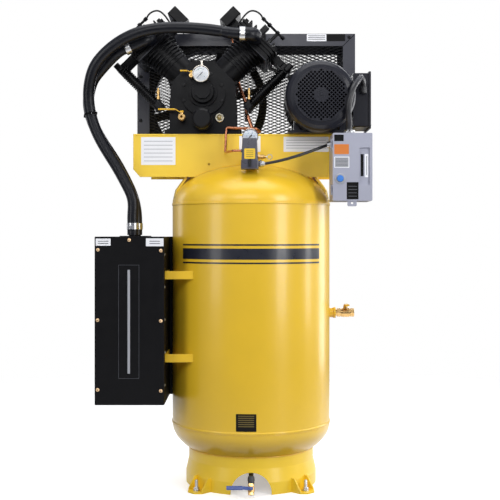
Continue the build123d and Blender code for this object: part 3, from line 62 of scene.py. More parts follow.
TANK_RADIUS = 0.305
FILM = 0.0003              # thickness of a flat film, and the step between stacked films
FILM_GAP = 0.00003         # clearance between a wall and the film on it

GUARD_X0, GUARD_X1 = -0.466, 0.427
GUARD_Z0, GUARD_Z1 = 1.230, 1.776
GUARD_FRONT_Y, GUARD_REAR_Y = 0.2, 0.322
FAN_X, FAN_Z = 0.257, 1.466    # fan cover centre, shared by a hole in the guard
DOOR_Y = -0.250                # face of the starter door
DOOR_RIGHT_Y = DOOR_Y + 0.0070  # set-back face along the door's right side
APRON_Y = -0.090
SILENCER_Y = -0.258


# ------------------------------------------------------------------ materials
def srgb(red, green, blue):
    """Linear RGBA from 0-255 sRGB."""
    def linear(channel):
        channel /= 255.0
        return channel / 12.92 if channel <= 0.04045 else ((channel + 0.055) / 1.055) ** 2.4
    return (linear(red), linear(green), linear(blue), 1.0)


class NodeMaterial:
    """A small builder for node materials in object space, metres."""

    def __init__(self, name, principled=True):
        self.material = bpy.data.materials.new(name)
        self.material.use_nodes = True
        self.tree = self.material.node_tree
        self.tree.nodes.clear()
        self.out = self.add("ShaderNodeOutputMaterial")
        if principled:
            self.bsdf = self.add("ShaderNodeBsdfPrincipled")
            self.link(self.bsdf.outputs[0], self.out.inputs[0])
        self.coords = self.add("ShaderNodeTexCoord").outputs["Object"]

    def add(self, kind, **props):
        node = self.tree.nodes.new(kind)
        for key, value in props.items():
            setattr(node, key, value)
        return node

    def link(self, source, target):
        self.tree.links.new(source, target)

    def feed(self, socket, value):
        """Link an output socket, or set a plain value."""
        if hasattr(value, "links"):
            self.link(value, socket)
        else:
            socket.default_value = value

    def stretched(self, scale):
        mapping = self.add("ShaderNodeMapping")
        mapping.inputs["Scale"].default_value = scale
        self.link(self.coords, mapping.inputs[0])
        return mapping.outputs[0]

    def noise(self, scale, detail=3.0, rough=0.55, coords=None):
        node = self.add("ShaderNodeTexNoise")
        node.inputs["Scale"].default_value = scale
        node.inputs["Detail"].default_value = detail
        node.inputs["Roughness"].default_value = rough
        self.link(coords or self.coords, node.inputs["Vector"])
        return node.outputs[0]

    def ramp(self, value, low, high, to_low=0.0, to_high=1.0):
        node = self.add("ShaderNodeMapRange")
        node.inputs["From Min"].default_value = low
        node.inputs["From Max"].default_value = high
        node.inputs["To Min"].default_value = to_low
        node.inputs["To Max"].default_value = to_high
        self.link(value, node.inputs["Value"])
        return node.outputs[0]

    def mix(self, factor, first, second):
        node = self.add("ShaderNodeMix", data_type="RGBA")
        self.feed(node.inputs[0], factor)
        self.feed(node.inputs[6], first)
        self.feed(node.inputs[7], second)
        return node.outputs[2]

    def multiply(self, first, second):
        node = self.add("ShaderNodeMath", operation="MULTIPLY")
        self.feed(node.inputs[0], first)
        self.feed(node.inputs[1], second)
        return node.outputs[0]

    def edge(self, radius):
        """A mask, 0 on flats and 1 on sharp edges, and the softened normal."""
        bevel = self.add("ShaderNodeBevel", samples=4)
        bevel.inputs["Radius"].default_value = radius
        geometry = self.add("ShaderNodeNewGeometry")
        dot = self.add("ShaderNodeVectorMath", operation="DOT_PRODUCT")
        self.link(bevel.outputs[0], dot.inputs[0])
        self.link(geometry.outputs["Normal"], dot.inputs[1])
        return self.ramp(dot.outputs["Value"], low=0.995, high=0.80), bevel.outputs[0]

    def bump(self, height, strength, distance, normal=None):
        node = self.add("ShaderNodeBump")
        node.inputs["Strength"].default_value = strength
        node.inputs["Distance"].default_value = distance
        self.link(height, node.inputs["Height"])
        if normal is not None:
            self.link(normal, node.inputs["Normal"])
        return node.outputs[0]


def build_finish(name, color, rough, bumps, metal=0.0, spec=0.5, coat=0.0, coat_rough=0.12,
                 sheen=0.0, vary=0.08, vary_scale=5.0, rvary=0.07, rscale=30.0, edge=0.0,
                 edge_color=None, edge_mix=0.35, grime=0.0, grime_color=None, stretch=None):
    """Colours are 0-255 sRGB; bumps are (noise scale, strength, distance).

    vary and rvary spread the colour and the roughness; edge is the radius of the lighter edges,
    partly wear and partly a painted highlight.
    """
    shader = NodeMaterial(name)
    bsdf = shader.bsdf
    base = srgb(*color)[:3]
    dark = tuple(c * (1 - vary) for c in base) + (1,)
    light = tuple(min(1, c * (1 + vary)) for c in base) + (1,)
    coords = shader.stretched(stretch) if stretch else None

    clouds = shader.noise(vary_scale, detail=4.0, rough=0.6)
    tint = shader.mix(shader.ramp(clouds, low=0.32, high=0.68), dark, light)
    specks = shader.noise(rscale * 9, detail=2.0, rough=0.5, coords=coords)
    specks = shader.ramp(specks, low=0.3, high=0.7)
    tint = shader.mix(shader.multiply(specks, vary * 0.9), tint, dark)
    normal = None
    # edges lighter in noisy patches: partly wear, partly a painted highlight along the edges
    if edge > 0:
        mask, normal = shader.edge(edge)
        patches = shader.ramp(shader.noise(scale=70), low=0.35, high=0.65, to_low=0.35)
        edge_wear_and_highlight = shader.multiply(mask, patches)
        if edge_color:
            edge_wear_and_highlight_color = srgb(*edge_color)
        else:
            edge_wear_and_highlight_color = tuple(min(1, c * 1.6 + 0.02) for c in base) + (1,)
        tint = shader.mix(shader.multiply(edge_wear_and_highlight, edge_mix), tint, edge_wear_and_highlight_color)
    if grime > 0:
        spots = shader.ramp(shader.noise(scale=22, detail=6.0, rough=0.7), low=0.56, high=0.74)
        tint = shader.mix(shader.multiply(spots, grime), tint, srgb(*grime_color))
    shader.link(tint, bsdf.inputs["Base Color"])

    polish = shader.noise(rscale, detail=4.0, rough=0.6, coords=coords)
    polish = shader.ramp(polish, low=0.3, high=0.7,
                         to_low=max(0.02, rough - rvary), to_high=min(1.0, rough + rvary))
    shader.link(polish, bsdf.inputs["Roughness"])
    for scale, strength, distance in bumps:
        grain = shader.noise(scale, detail=3.0, rough=0.6, coords=coords)
        normal = shader.bump(grain, strength, distance, normal)
    shader.link(normal, bsdf.inputs["Normal"])
    bsdf.inputs["Metallic"].default_value = metal
    bsdf.inputs["Specular IOR Level"].default_value = spec
    bsdf.inputs["Sheen Weight"].default_value = sheen
    if coat:
        bsdf.inputs["Coat Weight"].default_value = coat
        bsdf.inputs["Coat Roughness"].default_value = coat_rough
    return shader.material


# bump layers shared by several finishes: (noise scale, strength, distance)
PAINT_GRAIN = ((330.0, 0.10, 0.00025), (28.0, 0.05, 0.0006))
LEVER_GRAIN = ((300.0, 0.12, 0.0002),)
NAVY_GRAIN = ((420.0, 0.06, 0.0001),)
FILM_GRAIN = ((700.0, 0.06, 0.0001),)
DIAL_GRAIN = ((700.0, 0.03, 0.0001),)

FINISHES = {
    "yellow_paint": dict(
        color=(237, 193, 42), rough=0.34, coat=0.35, coat_rough=0.16, vary=0.035, vary_scale=3.5,
        rvary=0.05, bumps=PAINT_GRAIN, edge=0.0018, edge_color=(250, 214, 92), edge_mix=0.4),
    # lighter copy of the yellow paint for the platform and its fold: painted light that brightens
    # a face the lamps light less, with strong painted highlights on its edges
    "yellow_panel_painted_light": dict(
        color=(252, 212, 60), rough=0.38, coat=0.25, coat_rough=0.2, vary=0.03, vary_scale=3.5,
        rvary=0.05, bumps=PAINT_GRAIN, edge=0.0030, edge_color=(255, 236, 150), edge_mix=0.6),
    # lighter copy of the yellow paint for the skirt and feet: painted light, lifting parts low
    # down that get less light
    "yellow_low_painted_light": dict(
        color=(246, 206, 44), rough=0.40, coat=0.2, coat_rough=0.2, vary=0.04, rvary=0.06,
        bumps=((330.0, 0.12, 0.00025), (28.0, 0.06, 0.0006)), edge=0.0018,
        edge_color=(252, 224, 110), edge_mix=0.4, grime=0.05, grime_color=(150, 112, 24)),
    "pump_black": dict(
        color=(9, 9, 11), rough=0.34, spec=0.20, coat=0.05, coat_rough=0.10, vary=0.2,
        bumps=((380.0, 0.22, 0.0003),), edge=0.0012, edge_color=(56, 58, 66), edge_mix=0.4),
    "cast_black": dict(
        color=(8, 8, 10), rough=0.42, spec=0.16, coat=0.05, coat_rough=0.2, vary=0.22,
        vary_scale=14, rvary=0.09, bumps=((210.0, 0.30, 0.0004), (900.0, 0.2, 0.0002)),
        edge=0.0012, edge_color=(58, 60, 68), edge_mix=0.4),
    "silencer_black": dict(
        color=(7, 7, 9), rough=0.50, spec=0.15, vary=0.12, rvary=0.06,
        bumps=((1100.0, 0.45, 0.00018), (60.0, 0.04, 0.0004)),
        edge=0.0012, edge_color=(44, 44, 50), edge_mix=0.4),
    "guard_grey": dict(
        color=(49, 50, 59), rough=0.36, vary=0.07, rvary=0.06, coat=0.15,
        bumps=((620.0, 0.22, 0.00018),), edge=0.0010, edge_color=(98, 100, 112), edge_mix=0.5),
    "guard_mesh": dict(
        color=(24, 25, 29), rough=0.38, vary=0.15, rvary=0.08, bumps=((700.0, 0.3, 0.0002),)),
    "motor_grey": dict(
        color=(25, 26, 34), rough=0.38, spec=0.28, vary=0.12, rvary=0.08, coat=0.08,
        bumps=((420.0, 0.32, 0.0003),), edge=0.0012, edge_color=(84, 86, 98), edge_mix=0.45),
    "starter_grey": dict(
        color=(166, 168, 182), rough=0.36, vary=0.04, rvary=0.05, coat=0.15,
        bumps=((820.0, 0.28, 0.00015),), edge=0.0010, edge_color=(206, 208, 218), edge_mix=0.5),
    "hose_rubber": dict(
        color=(12, 14, 21), rough=0.36, spec=0.3, vary=0.14, rvary=0.05,
        bumps=((30.0, 0.05, 0.0008), (1400.0, 0.20, 0.0001))),
    "belt_rubber": dict(
        color=(22, 22, 23), rough=0.62, vary=0.2, rvary=0.08, sheen=0.25,
        bumps=((1500.0, 0.5, 0.0002),)),
    "zinc": dict(
        color=(196, 197, 198), rough=0.30, metal=1.0, vary=0.07, rvary=0.10, rscale=60,
        bumps=((600.0, 0.12, 0.0001),), edge=0.0006, edge_color=(240, 240, 238), edge_mix=0.5),
    "steel": dict(
        color=(168, 168, 170), rough=0.33, metal=1.0, vary=0.06, rvary=0.10, rscale=70,
        stretch=(1, 14, 1), bumps=((300.0, 0.10, 0.0001),),
        edge=0.0006, edge_color=(225, 225, 225)),
    "bearing_steel": dict(
        color=(205, 206, 210), rough=0.16, metal=1.0, vary=0.03, rvary=0.04,
        bumps=((900.0, 0.05, 0.0001),)),
    "aluminium": dict(
        color=(190, 192, 196), rough=0.36, metal=1.0, vary=0.06, rvary=0.08,
        bumps=((700.0, 0.25, 0.0002),), edge=0.0008, edge_color=(235, 235, 235)),
    "brass": dict(
        color=(204, 168, 110), rough=0.27, metal=1.0, vary=0.10, vary_scale=40, rvary=0.10,
        rscale=90, bumps=((500.0, 0.14, 0.0002),), edge=0.0007, edge_color=(242, 214, 150),
        edge_mix=0.5, grime=0.25, grime_color=(110, 74, 38)),
    "copper": dict(
        color=(188, 124, 92), rough=0.27, metal=1.0, vary=0.12, vary_scale=30, rvary=0.08,
        rscale=60, bumps=((260.0, 0.10, 0.0002),), grime=0.25, grime_color=(92, 48, 32)),
    "gauge_case": dict(
        color=(206, 200, 188), rough=0.17, metal=1.0, vary=0.04, rvary=0.06,
        bumps=((600.0, 0.05, 0.0001),), edge=0.0006, edge_color=(245, 244, 240)),
    "needle": dict(color=(18, 18, 18), rough=0.5, vary=0.1, bumps=((900.0, 0.1, 0.0001),)),
    "switch_grey": dict(
        color=(70, 70, 80), rough=0.30, coat=0.3, vary=0.06, rvary=0.05,
        bumps=((520.0, 0.10, 0.0002),), edge=0.0012, edge_color=(140, 140, 150), edge_mix=0.4),
    "lever_black": dict(
        color=(20, 20, 21), rough=0.45, vary=0.1, bumps=((800.0, 0.2, 0.0001),), edge=0.0008),
    "button_blue": dict(
        color=(70, 132, 214), rough=0.28, coat=0.4, vary=0.05, bumps=FILM_GRAIN,
        edge=0.0008, edge_color=(130, 176, 236)),
    "rotor_dark": dict(
        color=(14, 14, 16), rough=0.55, vary=0.2, bumps=((500.0, 0.3, 0.0003),),
        edge=0.001, edge_color=(34, 34, 38)),
    "contactor": dict(
        color=(42, 42, 45), rough=0.5, vary=0.1, bumps=((900.0, 0.2, 0.0001),), edge=0.001),
    "filter_paper": dict(
        color=(206, 186, 140), rough=0.85, vary=0.1, sheen=0.3, bumps=((1300.0, 0.5, 0.0003),)),
    "lever_yellow": dict(
        color=(240, 188, 30), rough=0.33, coat=0.3, vary=0.05, bumps=LEVER_GRAIN,
        edge=0.0008, edge_color=(252, 222, 110)),
    "lever_blue": dict(
        color=(30, 66, 140), rough=0.38, coat=0.3, vary=0.05, bumps=LEVER_GRAIN,
        edge=0.0008, edge_color=(110, 150, 210)),
    "sight_glass": dict(
        color=(196, 190, 170), rough=0.28, metal=1.0, vary=0.06,
        bumps=((700.0, 0.1, 0.0001),), edge=0.0006),
    "pipe_black": dict(
        color=(32, 32, 35), rough=0.40, vary=0.15, rvary=0.08, bumps=((420.0, 0.3, 0.0002),),
        edge=0.0008, edge_color=(96, 96, 100)),
    "plate_dark": dict(
        color=(30, 31, 35), rough=0.34, metal=0.6, vary=0.12, rvary=0.08,
        bumps=((500.0, 0.2, 0.0002),), edge=0.0008, edge_color=(92, 94, 100), edge_mix=0.4),
    "screw_tan": dict(
        color=(226, 192, 148), rough=0.36, metal=0.75, vary=0.10, vary_scale=60, rvary=0.10,
        rscale=90, bumps=((500.0, 0.14, 0.0002),), edge=0.0007, edge_color=(250, 232, 200),
        edge_mix=0.5),
    # surface marks and small parts
    "navy_film": dict(color=(26, 29, 40), rough=0.33, coat=0.2, vary=0.06, bumps=NAVY_GRAIN),
    "grey_film": dict(color=(118, 106, 66), rough=0.36, vary=0.06, bumps=NAVY_GRAIN),
    "white_film": dict(color=(246, 247, 249), rough=0.42, vary=0.02, bumps=FILM_GRAIN),
    "silver_film": dict(color=(170, 172, 176), rough=0.36, vary=0.03, bumps=FILM_GRAIN),
    "black_film": dict(color=(11, 11, 12), rough=0.46, spec=0.15, vary=0.05, bumps=FILM_GRAIN),
    "olive_film": dict(color=(112, 96, 40), rough=0.42, vary=0.06, bumps=FILM_GRAIN),
    "ink_film": dict(color=(86, 88, 94), rough=0.45, vary=0.05, bumps=FILM_GRAIN),
    "yellow_film": dict(color=(236, 196, 40), rough=0.40, vary=0.03, bumps=FILM_GRAIN),
    "orange_film": dict(color=(214, 122, 44), rough=0.42, vary=0.03, bumps=FILM_GRAIN),
    "red_film": dict(color=(178, 44, 36), rough=0.42, vary=0.03, bumps=FILM_GRAIN),
    "green_film": dict(color=(52, 132, 66), rough=0.42, vary=0.03, bumps=FILM_GRAIN),
    "dial_white": dict(color=(246, 248, 250), rough=0.45, vary=0.015, bumps=DIAL_GRAIN),
    "dial_blue": dict(color=(232, 240, 250), rough=0.42, vary=0.015, bumps=DIAL_GRAIN),
    "weld_yellow": dict(
        color=(235, 189, 40), rough=0.38, coat=0.2, vary=0.08, vary_scale=60,
        bumps=((240.0, 0.35, 0.0005),)),
    "tie_nylon": dict(
        color=(5, 5, 6), rough=0.55, spec=0.08, vary=0.08, bumps=((900.0, 0.15, 0.0001),)),
    "void_black": dict(
        color=(5, 5, 6), rough=0.9, spec=0.02, vary=0.2, bumps=((500.0, 0.1, 0.0002),)),
    # dark hexagons at the floors of the screw sockets: painted shade
    "socket_painted_shade": dict(color=(26, 26, 29), rough=0.6, vary=0.1, bumps=((900.0, 0.2, 0.0001),)),
    "resin_clear": dict(
        color=(150, 128, 66), rough=0.12, coat=0.8, coat_rough=0.04, vary=0.1, vary_scale=60,
        bumps=((120.0, 0.05, 0.0002),)),
}


def build_glass(name):
    """Clear pane with a Fresnel reflection and no refraction."""
    shader = NodeMaterial(name, principled=False)
    clear = shader.add("ShaderNodeBsdfTransparent")
    clear.inputs["Color"].default_value = (0.99, 0.995, 1.0, 1)
    shine = shader.add("ShaderNodeBsdfGlossy")
    polish = shader.ramp(shader.noise(scale=35), low=0.3, high=0.7, to_low=0.03, to_high=0.09)
    shader.link(polish, shine.inputs["Roughness"])
    fresnel = shader.add("ShaderNodeFresnel")
    fresnel.inputs["IOR"].default_value = 1.45
    mix = shader.add("ShaderNodeMixShader")
    shader.link(fresnel.outputs[0], mix.inputs[0])
    shader.link(clear.outputs[0], mix.inputs[1])
    shader.link(shine.outputs[0], mix.inputs[2])
    shader.link(mix.outputs[0], shader.out.inputs[0])
    return shader.material


MATERIALS = {name: build_finish(name, **finish) for name, finish in FINISHES.items()}
MATERIALS["dial_glass"] = build_glass("dial_glass")

# the dials glow a little so that they read behind their windows
for dial in ("dial_white", "dial_blue"):
    nodes = MATERIALS[dial].node_tree.nodes
    bsdf = next(node for node in nodes if node.type == "BSDF_PRINCIPLED")
    bsdf.inputs["Emission Color"].default_value = (0.86, 0.93, 1.0, 1)
    bsdf.inputs["Emission Strength"].default_value = 0.16

# CAD pieces whose material differs from their slot's; the platform, skirt and feet take lighter
# copies of the yellow paint, which is painted light
OWN_MATERIAL = {
    "motor_rotor": "rotor_dark", "platform": "yellow_panel_painted_light", "base_skirt": "yellow_low_painted_light",
    "base_feet": "yellow_low_painted_light", "silencer_screws": "screw_tan", "valve_plates": "plate_dark",
}
SLOT_OF = {part["node"]: part["material_slot"] for part in frame["record"]["subparts"]}
for node, piece in frame["nodes"].items():
    key = OWN_MATERIAL.get(node) or SLOT_OF.get(node, "")
    piece.data.materials.clear()
    piece.data.materials.append(MATERIALS.get(key, MATERIALS["steel"]))


# ------------------------------------------------------------------ mesh helpers
def add_piece(name, mesh, material, body="frame", sharp=35.0):
    """Turn a bmesh into an object that rides on body; sharp is the shading angle in degrees."""
    bmesh.ops.remove_doubles(mesh, verts=mesh.verts, dist=1e-7)
    bmesh.ops.recalc_face_normals(mesh, faces=mesh.faces)
    data = bpy.data.meshes.new(name)
    mesh.to_mesh(data)
    mesh.free()
    for polygon in data.polygons:
        polygon.use_smooth = True
    data.set_sharp_from_angle(angle=math.radians(sharp))
    piece = bpy.data.objects.new(name, data)
    SCENE.collection.objects.link(piece)
    data.materials.append(MATERIALS[material])
    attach(piece, body)
    return piece


def cross_axes(axis):
    """Two unit vectors square to axis and to each other, and the unit axis."""
    along = Vector(axis).normalized()
    second = Vector(UP)
    if abs(second.dot(along)) > 0.95:
        second = Vector(RIGHT)
    second = (second - along * second.dot(along)).normalized()
    return along.cross(second).normalized(), second, along


def skin(mesh, rings, closed=False):
    """Join rings of equal count; the ends are capped unless the run is closed."""
    pairs = list(zip(rings, rings[1:]))
    if closed:
        pairs.append((rings[-1], rings[0]))
    for near, far in pairs:
        for i in range(len(near)):
            j = (i + 1) % len(near)
            mesh.faces.new((near[i], near[j], far[j], far[i]))
    if not closed:
        mesh.faces.new(rings[0][::-1])
        mesh.faces.new(rings[-1])


def lathe(mesh, profile, centre, axis, segments):
    """Turned form: profile is (radius, height along axis); a zero radius makes a pole."""
    first, second, along = cross_axes(axis)
    origin = Vector(centre)
    turns = [2 * math.pi * (i + 0.5) / segments for i in range(segments)]
    rings = []
    for radius, height in profile:
        if radius < 1e-7:
            rings.append([mesh.verts.new(origin + along * height)])
            continue
        rings.append([mesh.verts.new(origin + along * height
                                     + (first * math.cos(t) + second * math.sin(t)) * radius)
                      for t in turns])
    for near, far in zip(rings, rings[1:]):
        if len(near) == 1 and len(far) == 1:
            continue
        for i in range(segments):
            j = (i + 1) % segments
            if len(near) == 1:
                mesh.faces.new((near[0], far[j], far[i]))
            elif len(far) == 1:
                mesh.faces.new((near[i], near[j], far[0]))
            else:
                mesh.faces.new((near[i], near[j], far[j], far[i]))
    if len(rings[0]) > 1:
        mesh.faces.new(rings[0][::-1])
    if len(rings[-1]) > 1:
        mesh.faces.new(rings[-1])


def add_turned(name, material, profile, centres, segments, axis=FRONT, sharp=35.0):
    """One object with the same turned form at every centre."""
    mesh = bmesh.new()
    for centre in centres:
        lathe(mesh, profile, centre, axis, segments)
    add_piece(name, mesh, material, sharp=sharp)


def hexagon(mesh, centre, axis, across_flats, height):
    """Hexagon head with a chamfered top."""
    radius = across_flats / 2 / math.cos(math.pi / 6)
    profile = [(radius * 0.96, 0), (radius, 0.0004), (radius, height * 0.82),
               (radius * 0.87, height)]
    lathe(mesh, profile, centre, axis, 6)


def prism(mesh, outline, origin, depth, up=UP, chamfer=0.0):
    """Outline (x, distance along up) from origin, grown toward the front by depth."""
    origin, across, up = Vector(origin), Vector(RIGHT), Vector(up).normalized()
    outward = across.cross(up).normalized()
    mid_x = sum(point[0] for point in outline) / len(outline)
    mid_y = sum(point[1] for point in outline) / len(outline)

    def ring(height, inset):
        corners = []
        for x, y in outline:
            shrink = 1 - inset / (math.hypot(x - mid_x, y - mid_y) or 1)
            corners.append(mesh.verts.new(origin + across * (mid_x + (x - mid_x) * shrink)
                                          + up * (mid_y + (y - mid_y) * shrink)
                                          + outward * height))
        return corners

    rings = [ring(0, 0)]
    if chamfer:
        rings += [ring(depth - chamfer, 0), ring(depth, chamfer)]
    else:
        rings += [ring(depth, 0)]
    skin(mesh, rings)


def add_prisms(name, material, outlines, origin, depth, up=UP, chamfer=0.0, body="frame",
               sharp=35.0):
    mesh = bmesh.new()
    for outline in outlines:
        prism(mesh, outline, origin, depth, up, chamfer)
    add_piece(name, mesh, material, body, sharp=sharp)


def tube(mesh, points, radii, segments, closed=False):
    """Round bar along points, with a radius for each point."""
    points = [Vector(point) for point in points]
    count = len(points)
    rings = []
    side = None
    for i, point in enumerate(points):
        if closed:
            along = (points[(i + 1) % count] - points[i - 1]).normalized()
        else:
            along = (points[min(i + 1, count - 1)] - points[max(i - 1, 0)]).normalized()
        if side is None:
            side = Vector(UP) if abs(along.z) < 0.9 else Vector(RIGHT)
        side = (side - along * side.dot(along)).normalized()
        other = along.cross(side)
        rings.append([mesh.verts.new(point + (side * math.cos(t) + other * math.sin(t)) * radii[i])
                      for t in (2 * math.pi * k / segments for k in range(segments))])
    skin(mesh, rings, closed)


def round_rect(width, height, radius, steps=3, x=0.0, z=0.0):
    outline = []
    for side_x, side_z, start in ((1, 1, 0), (-1, 1, 90), (-1, -1, 180), (1, -1, 270)):
        for i in range(steps + 1):
            angle = math.radians(start + 90 * i / steps)
            outline.append((x + side_x * (width / 2 - radius) + radius * math.cos(angle),
                            z + side_z * (height / 2 - radius) + radius * math.sin(angle)))
    return outline


def rect(x0, x1, z0, z1, radius=0.0015):
    radius = min(radius, (x1 - x0) / 2 - 1e-5, (z1 - z0) / 2 - 1e-5)
    return round_rect(x1 - x0, z1 - z0, radius, x=(x0 + x1) / 2, z=(z0 + z1) / 2)


def bars(x0, x1, z, pitch, count, height, radius=0.0004):
    """Level bars, the lowest starting at z."""
    return [rect(x0, x1, z + i * pitch, z + i * pitch + height, radius) for i in range(count)]


# ------------------------------------------------------------------ marks on surfaces
def sliced_sheet(outline, step=0.008):
    """Flat mesh of an outline, cut across x so that it can follow a curve."""
    mesh = bmesh.new()
    mesh.faces.new([mesh.verts.new((x, y, 0)) for x, y in outline])
    x = min(point[0] for point in outline) + step
    end = max(point[0] for point in outline)
    while x < end:
        everything = mesh.verts[:] + mesh.edges[:] + mesh.faces[:]
        bmesh.ops.bisect_plane(mesh, geom=everything, plane_co=(x, 0, 0), plane_no=(1, 0, 0))
        x += step
    return mesh


def add_tank_film(name, outlines, material, lift=0.00035):
    """Outlines are (arc length along the wall from the front centre line, height)."""
    sheet = bmesh.new()
    for outline in outlines:
        part = sliced_sheet(outline)
        carrier = bpy.data.meshes.new("tmp")
        part.to_mesh(carrier)
        part.free()
        sheet.from_mesh(carrier)
        bpy.data.meshes.remove(carrier)
    grown = bmesh.ops.extrude_face_region(sheet, geom=sheet.faces[:])["geom"]
    tops = {item for item in grown if isinstance(item, bmesh.types.BMVert)}
    for vert in sheet.verts:
        angle = vert.co.x / TANK_RADIUS
        radius = TANK_RADIUS + (lift if vert in tops else 0.00002)
        vert.co = Vector((radius * math.sin(angle), -radius * math.cos(angle), vert.co.y))
    add_piece(name, sheet, material, sharp=40)


def add_flat_film(name, outlines, material, y, body="frame", lift=FILM):
    """Outlines are (x, z) on a wall at depth y that faces the front."""
    add_prisms(name, material, outlines, (0, y - FILM_GAP, 0), lift, body=body, sharp=30)


# one stripe between two pinstripes, and a dark label low on the receiver
add_tank_film("tank_stripe", [rect(-0.300, 0.300, 0.862, 0.902, 0.001)], "navy_film")
add_tank_film("tank_pinstripes",
              [rect(-0.300, 0.300, z, z + 0.006, 0.001) for z in (0.846, 0.912)], "navy_film")
add_tank_film("tank_low_label", [rect(-0.055, 0.019, 0.243, 0.3066, 0.002)], "black_film")
add_tank_film("tank_low_label_lines",
              bars(-0.047, 0.011, z=0.2600, pitch=0.0075, count=6, height=0.0030, radius=0.0005),
              "olive_film", lift=0.0006)


# ------------------------------------------------------------------ weld beads
def level_circle(z, radius, count):
    """Points round the Z axis."""
    return [Vector((radius * math.cos(t), radius * math.sin(t), z))
            for t in (2 * math.pi * i / count for i in range(count))]


def weld_bead(mesh, points, radius, ripple=0.10, pitch=0.004):
    """Closed bead with a wandering centre line and a rippled thickness."""
    shifts = [Vector(shift) for shift in ((0, 0, 0), (9, 0, 0), (0, 9, 0))]
    centres, radii = [], []
    run = 0.0
    for i, point in enumerate(points):
        if i:
            run += (point - points[i - 1]).length
        wander = Vector([noise.noise(point * 60 + shift) * radius * 0.25 for shift in shifts])
        centres.append(point + wander)
        radii.append(radius * (1 + ripple * math.sin(2 * math.pi * run / pitch)
                               + 0.10 * noise.noise(point * 140)))
    tube(mesh, centres, radii, 8, closed=True)


SKIRT_RADIUS = 0.2418

mesh = bmesh.new()
for z in (0.229, 1.073):
    weld_bead(mesh, level_circle(z, TANK_RADIUS - 0.0002, 900), 0.0017)
add_piece("tank_seam_welds", mesh, "weld_yellow")

mesh = bmesh.new()
skirt_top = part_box("base_skirt")[1].z
weld_bead(mesh, level_circle(skirt_top - 0.0005, SKIRT_RADIUS + 0.0010, 700), 0.0020)
add_piece("skirt_weld", mesh, "weld_yellow")


# ------------------------------------------------------------------ anchors in the feet
def add_anchor_bolts(circle_radius=0.285, washer_top=0.0088):
    """Washer, nut and threaded stud in each of the four feet."""
    washer = [(0.0072, 0.0062), (0.0130, 0.0062), (0.0130, 0.0084), (0.0122, washer_top),
              (0.0072, washer_top)]
    stud = [(0.0, 0.0005), (0.0052, 0.0005)]
    z = 0.0015
    while z < 0.043:
        stud += [(0.0060, z), (0.0053, z + 0.0009)]
        z += 0.0018
    stud += [(0.0050, 0.0448), (0.0038, 0.0460), (0.0, 0.0460)]
    mesh = bmesh.new()
    for k in range(4):
        angle = math.radians(45 + 90 * k)
        x, y = circle_radius * math.cos(angle), circle_radius * math.sin(angle)
        lathe(mesh, washer, (x, y, 0), UP, 36)
        hexagon(mesh, (x, y, washer_top), UP, across_flats=0.0185, height=0.0100)
        lathe(mesh, stud, (x, y, 0), UP, 24)
    add_piece("foot_anchor_bolts", mesh, "zinc")


add_anchor_bolts()


# ------------------------------------------------------------------ belt guard
CELL_LENGTH, CELL_HEIGHT = 0.0335, 0.013    # one diamond of the expanded metal
STRAND_WIDTH, SHEET_THICKNESS = 0.0024, 0.0015


def strand(mesh, start, end, y):
    """One strand between (x, z) points, turned out of the sheet and wider at the bonds."""
    along = Vector((end[0] - start[0], 0, end[1] - start[1]))
    length = along.length
    along.normalize()
    across = Vector((-along.z, 0, along.x))
    if across.z < 0:
        across = -across
    tilt = Vector((0, 0.55, 0))
    thick = Vector((0, SHEET_THICKNESS / 2, 0))
    rows = []
    # (share of the length, width factor)
    for share, width in ((0.0, 1.5), (0.16, 1.0), (0.84, 1.0), (1.0, 1.5)):
        point = Vector((start[0], y, start[1])) + along * (length * share)
        half = across * (STRAND_WIDTH * width / 2)
        lean = tilt * (STRAND_WIDTH * width / 2)
        rows.append([mesh.verts.new(point + half - lean - thick),
                     mesh.verts.new(point + half - lean + thick),
                     mesh.verts.new(point - half + lean + thick),
                     mesh.verts.new(point - half + lean - thick)])
    for near, far in zip(rows, rows[1:]):
        for i in range(4):
            j = (i + 1) % 4
            mesh.faces.new((near[i], far[i], far[j], near[j]))
    mesh.faces.new(rows[0])
    mesh.faces.new(rows[-1][::-1])


def add_expanded_sheet(name, low, high, y, holes=()):
    """Diamond mesh between two box corners; holes are (x, z, radius)."""
    mesh = bmesh.new()
    step_x, step_z = CELL_LENGTH / 2, CELL_HEIGHT / 2
    columns = int((high.x - low.x) / step_x)
    rows = int((high.z - low.z) / step_z)
    start_x = low.x + ((high.x - low.x) - columns * CELL_LENGTH / 2) / 2
    start_z = low.z + ((high.z - low.z) - rows * CELL_HEIGHT / 2) / 2

    def clear(x, z):
        return all((x - hole_x) ** 2 + (z - hole_z) ** 2 > radius * radius
                   for hole_x, hole_z, radius in holes)

    for i in range(columns):
        for j in range(rows + 1):
            if (i + j) % 2:
                continue
            x, z = start_x + i * CELL_LENGTH / 2, start_z + j * CELL_HEIGHT / 2
            next_x = x + step_x
            for side in (-1, 1):
                next_z = z + side * CELL_HEIGHT / 2
                if low.z <= next_z <= high.z and clear(x, z) and clear(next_x, next_z):
                    strand(mesh, (x, z), (next_x, next_z), y)
    return add_piece(name, mesh, "guard_mesh", sharp=30)


low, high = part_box("guard_mesh")
front_sheet = add_expanded_sheet("guard_expanded_front", low, high, low.y + 0.001,
                                 [(-0.183, 1.492, 0.055), (FAN_X, FAN_Z, 0.037)])
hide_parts("guard_mesh")
add_expanded_sheet("guard_expanded_rear", low, high, high.y - 0.001)


